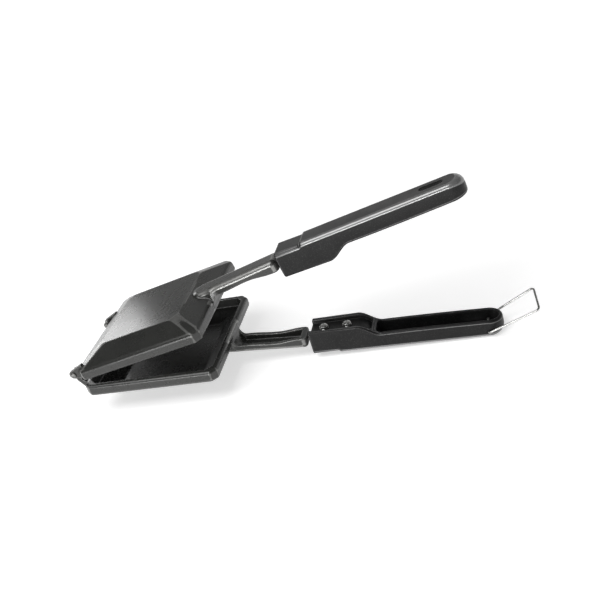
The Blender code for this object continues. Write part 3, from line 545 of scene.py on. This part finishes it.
def values_near_surface(field, low, counts, step):
    """The field on a fine grid, worked out only near the surface. Elsewhere only its sign is right."""
    rough = [low[a] + step * BLOCK * np.arange(counts[a] // BLOCK + 1) for a in range(3)]
    coarse = field(*samples(rough)).reshape([len(axis) for axis in rough])
    close = np.abs(coarse) < BLOCK * step * BAND_BLOCKS
    cells = np.zeros([n - 1 for n in coarse.shape], bool)
    for i in (0, 1):
        for j in (0, 1):
            for k in (0, 1):
                cells |= close[i:i + cells.shape[0], j:j + cells.shape[1], k:k + cells.shape[2]]
    shape = [n + 1 for n in counts]
    nearest = [np.minimum((np.arange(n) + BLOCK // 2) // BLOCK, m - 1) for n, m in zip(shape, coarse.shape)]
    full = coarse[np.ix_(*nearest)].astype(np.float32)
    for axis in range(3):
        cells = np.repeat(cells, BLOCK, axis=axis)
    mask = np.zeros(shape, bool)
    mask[:-1, :-1, :-1] = cells
    mask[1:] |= mask[:-1].copy()
    mask[:, 1:] |= mask[:, :-1].copy()
    mask[:, :, 1:] |= mask[:, :, :-1].copy()
    where = np.nonzero(mask)
    full[where] = field(*[low[a] + step * where[a] for a in range(3)])
    return full


def gradient(field, points, reach):
    """The field's slope at each point, from values a reach ahead and behind."""
    out = np.empty_like(points)
    for axis in range(3):
        ahead, behind = points.copy(), points.copy()
        ahead[:, axis] += reach
        behind[:, axis] -= reach
        out[:, axis] = field(*ahead.T) - field(*behind.T)
    return out / (2 * reach)


def crossed_cells(full, counts):
    """The cells that the surface crosses, and the mean of its crossings with the edges of each."""
    nx, ny, nz = counts
    inside = full < 0
    tally = np.zeros((nx, ny, nz), np.int8)
    corners = [(i, j, k) for i in (0, 1) for j in (0, 1) for k in (0, 1)]
    for i, j, k in corners:
        tally += inside[i:i + nx, j:j + ny, k:k + nz]
    cells = np.argwhere((tally > 0) & (tally < len(corners)))
    x, y, z = cells.T
    heights = np.stack([full[x + i, y + j, z + k] for i, j, k in corners])
    total = np.zeros((len(cells), 3))
    hits = np.zeros(len(cells))
    for a, first in enumerate(corners):
        for b, second in enumerate(corners):
            if b <= a or sum(abs(p - q) for p, q in zip(first, second)) != 1:
                continue
            crossed = (heights[a] < 0) != (heights[b] < 0)
            share = heights[a][crossed] / (heights[a][crossed] - heights[b][crossed])
            start = np.array(first, float)
            total[crossed] += start + share[:, None] * (np.array(second) - start)
            hits[crossed] += 1
    return cells, total / hits[:, None]


def quads_between(cells, full, counts):
    """A quad of four neighbouring cells round each edge of the grid that the surface crosses."""
    inside = full < 0
    number = np.full(counts, -1, np.int32)
    number[tuple(cells.T)] = np.arange(len(cells))
    quads = []
    for axis in range(3):
        one, two = (axis + 1) % 3, (axis + 2) % 3
        here = [slice(1, n) for n in counts]
        here[axis] = slice(0, counts[axis])
        ahead = list(here)
        ahead[axis] = slice(1, counts[axis] + 1)
        first, second = inside[tuple(here)], inside[tuple(ahead)]
        for leaving in (True, False):
            found = np.argwhere(first & ~second if leaving else ~first & second)
            if not len(found):
                continue
            base = found + np.array([0 if a == axis else 1 for a in range(3)])
            ring = []
            for back_one, back_two in ((1, 1), (0, 1), (0, 0), (1, 0)):
                cell = base.copy()
                cell[:, one] -= back_one
                cell[:, two] -= back_two
                ring.append(number[tuple(cell.T)])
            if not leaving:
                ring.reverse()
            quads.append(np.stack(ring, axis=1))
    return np.concatenate(quads)


def net(field, low, high, step):
    """Points and quads of a field's zero surface, one point in each cell that it crosses."""
    counts = [int(math.ceil((b - a) / step / BLOCK)) * BLOCK for a, b in zip(low, high)]
    full = values_near_surface(field, low, counts, step)
    cells, places = crossed_cells(full, counts)
    points = np.array(low) + step * (cells + places)
    for _ in range(PULLS):
        slope = gradient(field, points, step * PULL_REACH)
        size = np.maximum((slope ** 2).sum(1), LEAST_SLOPE)
        move = -slope * (field(*points.T) / size)[:, None]
        length = np.maximum(np.linalg.norm(move, axis=1), TINY_MOVE)
        points += move * np.minimum(1, step * PULL_LIMIT / length)[:, None]
    return points, quads_between(cells, full, counts)


def normals_of(field, points, step):
    """The field's unit normals at points on its surface."""
    slope = gradient(field, points, step * NORMAL_REACH)
    return slope / np.maximum(np.linalg.norm(slope, axis=1), TINY_SLOPE)[:, None]


def bend_of(field, points):
    """How tightly the surface bends outward at each point: 0 if it is flat, 1 on an edge of EDGE_RADIUS."""
    total = -6 * field(*points.T)
    for axis in range(3):
        for side in (-EDGE_REACH, EDGE_REACH):
            moved = points.copy()
            moved[:, axis] += side
            total += field(*moved.T)
    return total / EDGE_REACH ** 2 * EDGE_RADIUS


def broad_edge(bend):
    """1 on broadly rounded edges, 0 on flat faces and on small roundings."""
    return np.clip((bend - BROAD_START) / BROAD_RISE, 0, 1) * np.clip((BROAD_END - bend) / BROAD_FALL, 0, 1)


def face_corners(mesh):
    """The vertex of every face corner, and how many corners each face has."""
    vertex = np.empty(len(mesh.loops), np.int32)
    mesh.loops.foreach_get("vertex_index", vertex)
    totals = np.empty(len(mesh.polygons), np.int32)
    mesh.polygons.foreach_get("loop_total", totals)
    return vertex, totals


def inset_corners(corners, totals):
    """The faces' centres, which corners lie on large faces, and points a little inside those faces.

    A large face is flat, but its corners touch rounded edges, whose normals would shade the whole of it.
    """
    starts = np.concatenate([[0], np.cumsum(totals)[:-1]])
    centres = np.add.reduceat(corners, starts, axis=0) / totals[:, None]
    ways = np.repeat(centres, totals, axis=0) - corners
    lengths = np.linalg.norm(ways, axis=1)
    large = lengths > SMALL_FACE
    inset = np.minimum(lengths[large] - SMALL_FACE, LARGE_FACE_INSET) / lengths[large]
    return centres, large, corners[large] + ways[large] * inset[:, None]


def linked(name, data):
    """A new object in the scene."""
    made = bpy.data.objects.new(name, data)
    bpy.context.scene.collection.objects.link(made)
    return made


def with_modifiers(made):
    """Makes an object's modifiers part of its mesh."""
    bpy.context.view_layer.update()
    before = made.data
    mesh = bpy.data.meshes.new_from_object(made.evaluated_get(bpy.context.evaluated_depsgraph_get()))
    made.modifiers.clear()
    made.data = mesh
    bpy.data.meshes.remove(before)
    mesh.name = made.name
    return mesh


def thinned(name, points, quads):
    """An object of the net's quads, with fewer faces where it is flat and no vertices that touch."""
    mesh = bpy.data.meshes.new(name)
    mesh.vertices.add(len(points))
    mesh.vertices.foreach_set("co", points.ravel())
    mesh.loops.add(quads.size)
    mesh.loops.foreach_set("vertex_index", quads.ravel())
    mesh.polygons.add(len(quads))
    mesh.polygons.foreach_set("loop_start", np.arange(0, quads.size, 4))
    mesh.update(calc_edges=True)
    mesh.validate()
    made = linked(name, mesh)
    made.modifiers.new("thin", 'DECIMATE').ratio = KEPT_SHARE
    mesh = with_modifiers(made)
    bm = bmesh.new()
    bm.from_mesh(mesh)
    bmesh.ops.remove_doubles(bm, verts=bm.verts, dist=MERGE_REACH)
    bm.to_mesh(mesh)
    bm.free()
    return made


def solid_of(name, half, field, low, high, step):
    """Meshes a field and puts it in the world, with the field's own normals and masks of its rounded edges, on
    which the looks paint highlights and, on the casting, wear.
    """
    made = thinned(name, *net(field, low, high, step))
    mesh = made.data
    if half == "lower":
        mesh.flip_normals()
    points = np.empty(len(mesh.vertices) * 3)
    mesh.vertices.foreach_get("co", points)
    points = points.reshape(-1, 3)
    vertex, totals = face_corners(mesh)
    centres, large, inset = inset_corners(points[vertex], totals)
    normals = normals_of(field, points, step)[vertex]
    normals[large] = normals_of(field, inset, step)
    corner = bend_of(field, points)[vertex]
    face = np.repeat(bend_of(field, centres), totals)
    # Masks of rounded edges: the looks paint highlights on them, and on the casting also worn coating. The
    # broad-edge mask is kept to the middle strip.
    in_handle_strip = np.abs(points[vertex, 1]) < HANDLE_STRIP_HALF
    wear_and_highlight_masks = {"edge": np.clip((corner + face) / 2, 0, EDGE_MOST),
            "rubbed_and_highlight": np.minimum(broad_edge(corner), broad_edge(face)) * in_handle_strip}
    for key, values in wear_and_highlight_masks.items():
        mesh.attributes.new(key, 'FLOAT', 'CORNER').data.foreach_set("value", values.astype(np.float32))
    turn = np.array(TO_WORLD[half])
    mesh.vertices.foreach_set("co", (points @ turn[:3, :3].T + turn[:3, 3]).ravel())
    mesh.polygons.foreach_set("use_smooth", np.ones(len(mesh.polygons), bool))
    mesh.update()
    mesh.normals_split_custom_set(normals @ turn[:3, :3].T)
    return made


# Turned and swept pieces
def circle(bm, radius, place, steps=ROUND_STEPS):
    """Vertices round a circle. place takes two coordinates in its plane and gives a point of the world."""
    turns = [2 * math.pi * i / steps for i in range(steps)]
    return [bm.verts.new(place(radius * math.cos(turn), radius * math.sin(turn))) for turn in turns]


def turned(bm, profile, to_world):
    """A circle of vertices for each (radius, height) pair."""
    return [circle(bm, radius, lambda x, y: to_world(x, y, height)) for radius, height in profile]


def skin(bm, rows):
    """Faces between each row of vertices and the next."""
    for low, high in zip(rows, rows[1:]):
        for i in range(len(low)):
            j = (i + 1) % len(low)
            bm.faces.new((low[i], low[j], high[j], high[i]))


def cap(bm, rows):
    """Faces over the first row of vertices and the last."""
    bm.faces.new(rows[0])
    bm.faces.new(rows[-1])


def from_bmesh(name, bm):
    """An object of a finished bmesh, smooth but for its sharp edges."""
    bmesh.ops.recalc_face_normals(bm, faces=bm.faces)
    mesh = bpy.data.meshes.new(name)
    bm.to_mesh(mesh)
    bm.free()
    mesh.shade_smooth()
    mesh.set_sharp_from_angle(angle=SHARP_ANGLE)
    return linked(name, mesh)


def lathed(name, profile, to_world):
    """Turns (radius, height) pairs about an axis into a solid with two flat ends."""
    bm = bmesh.new()
    rows = turned(bm, profile, to_world)
    skin(bm, rows)
    cap(bm, rows)
    return from_bmesh(name, bm)


def ringed(name, inner, outer, low, high, edge, to_world):
    """A washer with its outer edges broken."""
    bm = bmesh.new()
    rows = turned(bm, [(inner, low), (outer - edge, low), (outer, low + edge), (outer, high - edge),
                       (outer - edge, high), (inner, high)], to_world)
    skin(bm, rows + rows[:1])
    return from_bmesh(name, bm)


def dress(piece, look, body, slot, *nodes):
    """Gives a piece its look, hides the CAD nodes that it stands for and parents it to the empty of its body.
    The slot is not used.
    """
    piece.data.materials.clear()
    piece.data.materials.append(look)
    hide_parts(*nodes)
    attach(piece, body)


# Materials
class Nodes:
    """Short calls for the few shader nodes that the looks, the floor and the world are made of."""

    def __init__(self, tree):
        self.tree = tree

    def fill(self, socket, value):
        """Gives a socket a number, a colour or another node's output."""
        if isinstance(value, tuple):
            socket.default_value = (*value, 1)
        elif isinstance(value, float):
            socket.default_value = value
        else:
            self.tree.links.new(value, socket)

    def add(self, kind, inputs, **settings):
        """Adds a node, makes its settings and then fills its inputs."""
        made = self.tree.nodes.new("ShaderNode" + kind)
        for name, value in settings.items():
            setattr(made, name, value)
        for name, value in inputs.items():
            self.fill(made.inputs[name], value)
        return made

    def place(self, kind):
        """One of the coordinates of the point that is shaded."""
        return self.add("TexCoord", {}).outputs[kind]

    def combine(self, operation, first, second):
        """A Math node's operation on two values."""
        return self.add("Math", {0: first, 1: second}, operation=operation).outputs["Value"]

    def spread(self, source, low, high, out_low, out_high, interpolation='LINEAR'):
        """Maps low..high to out_low..out_high, and holds it there beyond."""
        inputs = {"Value": source, "From Min": low, "From Max": high, "To Min": out_low, "To Max": out_high}
        return self.add("MapRange", inputs, interpolation_type=interpolation).outputs["Result"]

    def smooth(self, source, low, high, out_low, out_high):
        """The same as spread, with soft ends."""
        return self.spread(source, low, high, out_low, out_high, 'SMOOTHSTEP')

    def shown(self):
        """1 for rays that show a surface to the camera or in a reflection, 0 for rays that light."""
        paths = self.add("LightPath", {}).outputs
        either = self.combine('MAXIMUM', paths["Is Camera Ray"], paths["Is Glossy Ray"])
        return self.combine('MAXIMUM', either, paths["Is Transmission Ray"])


class Look(Nodes):
    """A procedural material on a Principled shader, with its plain start values."""

    def __init__(self, name, colour, roughness, metallic=0.0):
        self.material = bpy.data.materials.new(name)
        self.material.use_nodes = True
        super().__init__(self.material.node_tree)
        self.shader = self.tree.nodes["Principled BSDF"]
        self.give("Base Color", colour)
        self.give("Roughness", roughness)
        self.give("Metallic", metallic)
        self.spot = self.place("Object")

    def give(self, name, value):
        """Fills one of the shader's own inputs."""
        self.fill(self.shader.inputs[name], value)

    def noise(self, scale, detail, roughness=0.55):
        """Noise over the piece, its scale in cells to the metre."""
        inputs = {"Scale": scale, "Detail": detail, "Roughness": roughness, "Vector": self.spot}
        return self.add("TexNoise", inputs).outputs["Fac"]

    def mix(self, factor, first, second):
        """A mix of two colours, from the first (0) to the second (1)."""
        inputs = {"Factor": factor, "A": first, "B": second}
        return self.add("Mix", inputs, data_type='RGBA').outputs["Result"]

    def clouded(self, noise, dark, light, low=0.3, high=0.7):
        """A colour that drifts between two shades, over the noise's values from low to high."""
        return self.mix(self.spread(noise, low, high, 0.0, 1.0), dark, light)

    def flecked(self, scale, amount, colour, fleck):
        """A colour with fine grains of another, at most this amount of it."""
        return self.mix(self.spread(self.noise(scale, 3.0, 0.7), 0.54, 0.74, 0.0, amount), colour, fleck)

    def wear_and_highlight(self, attribute, low=0.0, high=1.0, out_low=0.0, out_high=1.0):
        """Spreads one of the attributes that tell rounded edges, on which the looks paint highlights, and on
        the casting also wear.
        """
        made = self.add("Attribute", {}, attribute_name=attribute)
        return self.spread(made.outputs["Fac"], low, high, out_low, out_high)

    def bump(self, *heights):
        """Chains (height, strength, distance) into the shader's normal."""
        before = {}
        for height, strength, distance in heights:
            made = self.add("Bump", {"Height": height, "Strength": strength, "Distance": distance, **before})
            before = {"Normal": made.outputs["Normal"]}
        self.give("Normal", before["Normal"])


def coated_casting():
    """Satin non-stick coating, speckled, with lighter, metallic rounded edges: partly worn coating that shows
    the metal, partly a painted highlight.
    """
    dark, light, fleck = (0.020, 0.0205, 0.019), (0.025, 0.0255, 0.0235), (0.08, 0.08, 0.076)
    bare_metal_and_highlight = (0.36, 0.36, 0.35)
    look = Look("nonstick_coating", (0.022, 0.0225, 0.021), 0.32)
    colour = look.clouded(look.noise(38.0, 3.0), dark, light, 0.35, 0.65)
    colour = look.flecked(1300.0, 0.35, colour, fleck)
    patchy = look.spread(look.noise(110.0, 4.0, 0.6), 0.38, 0.62, 0.6, 1.0)
    # The edge colour is partly bare metal where the coating wears, partly a painted highlight along rims and
    # arms.
    wear_and_highlight = look.combine('MULTIPLY', look.wear_and_highlight("edge", 0.95, 1.5, 0.0, 0.45), patchy)
    wear_and_highlight = look.combine('MAXIMUM', wear_and_highlight, look.wear_and_highlight("rubbed_and_highlight", out_high=0.65))
    look.give("Base Color", look.mix(wear_and_highlight, colour, bare_metal_and_highlight))
    look.give("Metallic", wear_and_highlight)
    look.give("Roughness", look.spread(look.noise(60.0, 4.0), 0.3, 0.7, 0.265, 0.285))
    look.give("Specular IOR Level", 0.60)
    look.bump((look.noise(900.0, 3.0), 0.012, 0.0002), (look.noise(160.0, 2.0), 0.008, 0.0005))
    return look.material


def moulded_bakelite():
    """Black phenolic moulding, satin, with a painted highlight of light metallic grey on its broad edges,
    which are also smoother there.
    """
    dark, light, filler = (0.005, 0.005, 0.0052), (0.009, 0.009, 0.0092), (0.07, 0.069, 0.066)
    painted_highlight_grey = (0.48, 0.48, 0.48)
    look = Look("black_bakelite", (0.010, 0.010, 0.0105), 0.28)
    colour = look.clouded(look.noise(55.0, 4.0), dark, light)
    colour = look.flecked(1000.0, 0.45, colour, filler)
    # Broad edges get a light metallic grey: a painted highlight. Their lower roughness further down stands for
    # hand polish.
    painted_highlight = look.wear_and_highlight("rubbed_and_highlight", out_high=0.52)
    look.give("Base Color", look.mix(painted_highlight, colour, painted_highlight_grey))
    look.give("Metallic", painted_highlight)
    look.give("Specular IOR Level", 0.25)
    satin = look.spread(look.noise(45.0, 5.0, 0.6), 0.35, 0.7, 0.36, 0.44)
    look.give("Roughness", look.combine('MULTIPLY', satin, look.wear_and_highlight("rubbed_and_highlight", out_low=1.0, out_high=0.55)))
    look.bump((look.noise(500.0, 3.0), 0.12, 0.0002), (look.noise(90.0, 2.0), 0.06, 0.0006))
    return look.material


def steel(name, colour, roughness, metallic, shades, scales, satin, grain):
    """Bare steel. The scales are those of its cloud, of its roughness and of its grain."""
    look = Look(name, colour, roughness, metallic)
    look.give("Base Color", look.clouded(look.noise(scales[0], 3.0), *shades))
    look.give("Roughness", look.spread(look.noise(scales[1], 2.0), 0.3, 0.7, *satin))
    look.bump((look.noise(scales[2], 2.0), grain, 0.0001))
    return look.material


COATING = coated_casting()
BAKELITE = moulded_bakelite()
BRIGHT = steel("bright_steel", (0.46, 0.46, 0.45), 0.20, 1.0, ((0.40, 0.40, 0.39), (0.54, 0.54, 0.53)),
               scales=(300.0, 900.0, 1800.0), satin=(0.22, 0.34), grain=0.06)
DARK = steel("dark_steel", (0.16, 0.16, 0.155), 0.42, 0.9, ((0.12, 0.12, 0.115), (0.22, 0.22, 0.215)),
             scales=(400.0, 1100.0, 1500.0), satin=(0.34, 0.5), grain=0.10)


# Castings and mouldings
for half in ("lower", "upper"):
    pan = solid_of(half + "_pan_casting", half, pan_field(half), PAN_BOX_START[half], PAN_BOX_END, PAN_STEP)
    dress(pan, COATING, half + "_half", "nonstick_coating", half + "_pan")
    handle = solid_of(half + "_handle_moulding", half, handle_field(half == "lower"),
                      HANDLE_BOX_START, HANDLE_BOX_END, HANDLE_STEP)
    dress(handle, BAKELITE, half + "_half", "black_bakelite", half + "_handle")


# Screws and rivets
def slot_cutter(name, top, to_world):
    """The box that cuts the driver's slot into a screw's head."""
    x, y = DRIVER_SLOT_HALF, DRIVER_SLOT_REACH
    bm = bmesh.new()
    rows = [[bm.verts.new(to_world(*corner, w)) for corner in ((-x, -y), (x, -y), (x, y), (-x, y))]
            for w in (top - DRIVER_SLOT_ABOVE, top + DRIVER_SLOT_DEPTH)]
    cap(bm, rows)
    skin(bm, rows)
    return from_bmesh(name, bm)


def screw(half, place, u):
    """A slotted pan-head screw with its washer."""
    def to_world(x, y, w):
        return TO_WORLD[half] @ Vector((u + x, y, w))

    name = "%s_%s_screw" % (half, place)
    seat = SCREW_SEAT - WASHER_THICK - 2 * SEAT_GAP
    rim = seat - SCREW_RIM
    tip = TANG_MIDDLE + TANG_THICK / 2
    in_by, up_by = SCREW_RIM_CHAMFER
    profile = [
        (SCREW_RADIUS - SCREW_TIP_CHAMFER, tip), (SCREW_RADIUS, tip - SCREW_TIP_CHAMFER), (SCREW_RADIUS, seat),
        (SCREW_HEAD - in_by, seat), (SCREW_HEAD, seat - up_by), (SCREW_HEAD, rim),
    ]
    for turn in map(math.radians, SCREW_DOME_TURNS):
        profile.append((SCREW_HEAD * math.cos(turn), rim - (SCREW_RISE - SCREW_RIM) * math.sin(turn)))
    body = lathed(name + "_turned", profile, to_world)
    cutter = slot_cutter(name + "_slot", seat - SCREW_RISE, to_world)
    cut = body.modifiers.new("slot", 'BOOLEAN')
    cut.operation = 'DIFFERENCE'
    cut.object = cutter
    with_modifiers(body).set_sharp_from_angle(angle=SCREW_SHARP_ANGLE)
    bpy.data.objects.remove(cutter)
    dress(body, BRIGHT, half + "_half", "bright_steel", name)
    washer = "%s_%s_washer" % (half, place)
    ring = ringed(washer + "_ring", SCREW_RADIUS + SEAT_GAP, WASHER_RADIUS,
                  SCREW_SEAT - SEAT_GAP - WASHER_THICK, SCREW_SEAT - SEAT_GAP, WASHER_EDGE, to_world)
    dress(ring, BRIGHT, half + "_half", "bright_steel", washer)


for half in ("lower", "upper"):
    for place, u in zip(("front", "rear"), SCREW_PLACES):
        screw(half, place, u)


def hinge_point(side):
    """A rivet through a pair of ears, with a washer under its formed tail."""
    def to_world(x, y, v):
        return Vector((HINGE_U + x, v, PLATEAU + HINGE_REST + y))

    low = NEAR_EAR_V if side == "near" else FAR_EAR_V
    high = low + EAR_PITCH + EAR_THICK
    out = -1 if side == "near" else 1
    head = (low if side == "near" else high) + out * SEAT_GAP
    washer = (high if side == "near" else low) - out * SEAT_GAP
    tail = washer - out * (HINGE_WASHER_THICK + SEAT_GAP)
    profile = []
    for turn in map(math.radians, RIVET_DOME_TURNS):
        height = RIVET_HEAD_RIM + RIVET_HEAD_DOME * math.sin(turn)
        profile.append((RIVET_HEAD_RADIUS * math.cos(turn), head + out * height))
    profile += [(RIVET_HEAD_RADIUS, head), (RIVET_RADIUS, head), (RIVET_RADIUS, tail)]
    profile += [(radius, tail - out * depth) for radius, depth in RIVET_TAIL]
    rivet = lathed("hinge_rivet_%s_turned" % side, profile, to_world)
    dress(rivet, DARK, "hinge_pins", "dark_steel", "hinge_rivet_" + side)
    start, end = sorted((washer, washer - out * HINGE_WASHER_THICK))
    ring = ringed("hinge_washer_%s_ring" % side, RIVET_RADIUS + SEAT_GAP, HINGE_WASHER_RADIUS, start, end,
                  HINGE_WASHER_EDGE, to_world)
    dress(ring, DARK, "hinge_pins", "dark_steel", "hinge_washer_" + side)


for side in ("near", "far"):
    hinge_point(side)


# Bail
def bend(before, corner, after, radius):
    """Points round a bend of the wire's middle line, in place of its corner."""
    first = (before - corner).normalized()
    second = (after - corner).normalized()
    half_angle = first.angle(second) / 2
    back = radius / math.tan(half_angle)
    centre = corner + (first + second).normalized() * radius / math.sin(half_angle)
    start = corner + first * back - centre
    end = corner + second * back - centre
    sweep = start.angle(end)
    shares = [i / BAIL_BEND_STEPS for i in range(BAIL_BEND_STEPS + 1)]
    return [centre + (start * math.sin((1 - share) * sweep) + end * math.sin(share * sweep)) / math.sin(sweep)
            for share in shares]


def bail_path():
    """The wire's middle line about its pivot, from one tail's end to the other's."""
    wall = float(handle_half(np.array([BAIL_PIVOT_U]))[0])
    side = wall + SIDE_BULGE + BAIL_SIDE_GAP + WIRE_RADIUS
    tail = wall - HANDLE_WALL - BAIL_TAIL_SHORT
    near, far = BAIL_REST - BAIL_SKEW, BAIL_REST + BAIL_SKEW
    corners = [
        Vector((0, -tail, 0)), Vector((0, -side, 0)),
        Vector((BAIL_REACH * math.cos(near), -side, BAIL_REACH * math.sin(near))),
        Vector((BAIL_REACH * math.cos(far), side, BAIL_REACH * math.sin(far))),
        Vector((0, side, 0)), Vector((0, tail, 0)),
    ]
    radii = (BAIL_TAIL_BEND, BAIL_CORNER_BEND, BAIL_CORNER_BEND, BAIL_TAIL_BEND)
    path = [corners[0]]
    for i, radius in enumerate(radii):
        path += bend(*corners[i:i + 3], radius)
    return path + [corners[-1]]


def wire_bail():
    """The wire, swept along its path, with its ends broken."""
    pivot = Vector((BAIL_PIVOT_U, 0, BAIL_PIVOT_Z))
    path = bail_path()
    directions = [(b - a).normalized() for a, b in zip(path, path[1:])]
    between = [(a + b).normalized() for a, b in zip(directions, directions[1:])]
    directions = [directions[0]] + between + [directions[-1]]
    across = directions[0].orthogonal().normalized()
    end_radius = WIRE_RADIUS * WIRE_END_SHARE
    bm = bmesh.new()
    rows = []
    for index, (point, direction) in enumerate(zip(path, directions)):
        across = (across - direction * across.dot(direction)).normalized()
        other = direction.cross(across)
        rings = [(point, WIRE_RADIUS)]
        if index == 0:
            rings = [(point, end_radius), (point + direction * WIRE_END_BACK, WIRE_RADIUS)]
        elif index == len(path) - 1:
            rings = [(point - direction * WIRE_END_BACK, WIRE_RADIUS), (point, end_radius)]
        for centre, radius in rings:
            rows.append(circle(bm, radius, lambda x, y: pivot + centre + across * x + other * y, WIRE_SIDES))
    skin(bm, rows)
    cap(bm, rows)
    return from_bmesh("wire_bail_bent", bm)


dress(wire_bail(), BRIGHT, "bail", "bright_steel", "wire_bail")


# Camera, floor, world and lamps
def make_camera():
    """The camera that the photograph was taken with, as solved from it."""
    data = bpy.data.cameras.new("camera")
    data.sensor_width = SENSOR
    data.lens = FOCAL_PIXELS * SENSOR / IMAGE_WIDTH
    data.clip_start = NEAR_CLIP
    camera = linked("camera", data)
    right = VIEW_LINE.cross(UP_LINE).normalized()
    up = right.cross(VIEW_LINE).normalized()
    camera.matrix_world = Matrix.Translation(EYE) @ Matrix((right, up, -VIEW_LINE)).transposed().to_4x4()
    bpy.context.scene.camera = camera


def make_floor():
    """A pale floor, a little lifted where it is seen, so that it reads as white and keeps the shadow."""
    mesh = bpy.data.meshes.new("floor")
    corners = [(x * FLOOR_SIZE, y * FLOOR_SIZE, 0) for x, y in ((-1, -1), (1, -1), (1, 1), (-1, 1))]
    mesh.from_pydata(corners, [], [(0, 1, 2, 3)])
    floor = linked("floor", mesh)
    floor.location = (0, 0, FLOOR_Z)
    look = Look("floor_white", FLOOR_COLOUR, FLOOR_ROUGHNESS)
    look.give("Specular IOR Level", 0.0)
    look.give("Emission Color", (1, 1, 1))
    distance = look.add("VectorMath", {0: look.spot}, operation='LENGTH').outputs["Value"]
    rising = look.smooth(distance, *FLOOR_RAMP, FLOOR_LIFT, FLOOR_FAR_LIFT)
    look.give("Emission Strength", look.combine('MULTIPLY', look.shown(), rising))
    mesh.materials.append(look.material)


def make_world():
    """An even room for the light. What shows is a white backdrop behind, darker overhead and to the left."""
    world = bpy.data.worlds.new("studio")
    bpy.context.scene.world = world
    world.use_nodes = True
    nodes = Nodes(world.node_tree)
    background = nodes.tree.nodes["Background"]
    nodes.fill(background.inputs["Color"], (1, 1, 1))
    way = nodes.add("SeparateXYZ", {"Vector": nodes.place("Generated")}).outputs
    high = nodes.smooth(way["Z"], *OVERHEAD_RAMP, BACKDROP, OVERHEAD)
    left = nodes.smooth(way["X"], *SIDE_RAMP, DARK_SIDE, 1.0)
    front = nodes.smooth(way["Y"], *FRONT_RAMP, DIM_FRONT, 1.0)
    low = nodes.smooth(way["Z"], *HORIZON_RAMP, 1.0, 0.0)
    dimmed = nodes.combine('MAXIMUM', nodes.combine('MULTIPLY', left, front), low)
    seen = nodes.combine('MULTIPLY', high, dimmed)
    shown = nodes.shown()
    lights = nodes.combine('MULTIPLY', nodes.combine('SUBTRACT', 1.0, shown), ROOM)
    level = nodes.combine('ADD', nodes.combine('MULTIPLY', seen, shown), lights)
    nodes.fill(background.inputs["Strength"], level)


def area_lamp(name, place, aim, width, height, power, along=(1, 0, 0), shadow=True):
    """A rectangular lamp. Its width lies along the given direction."""
    data = bpy.data.lights.new(name, 'AREA')
    data.shape = 'RECTANGLE'
    data.size = width
    data.size_y = height
    data.energy = power
    data.use_shadow = shadow
    back = (Vector(place) - Vector(aim)).normalized()
    across = Vector(along)
    across = (across - back * across.dot(back)).normalized()
    turn = Matrix((across, back.cross(across), back)).transposed().to_4x4()
    linked(name, data).matrix_world = Matrix.Translation(place) @ turn


make_camera()
make_floor()
make_world()
area_lamp("key", (-0.25, -0.50, 1.05), (0.12, 0, 0.05), 0.85, 0.70, 8.5)
area_lamp("back", (0.10, 1.35, 0.95), (0.12, 0, 0.03), 1.6, 0.9, 0.8)
area_lamp("left_strip", (-0.342, 0.242, 0.136), (-0.054, -0.087, 0.049), 0.22, 0.07, 0.36,
          along=(0.09, 0.016, 0.026), shadow=False)
area_lamp("front_strip", (-0.20, -1.15, 0.11), (0.10, 0, 0.03), 0.95, 0.13, 6.0)
area_lamp("front", (0.30, -1.20, 0.30), (0.12, 0, 0.03), 1.10, 0.30, 1.0)

bpy.context.scene.view_settings.view_transform = 'Standard'
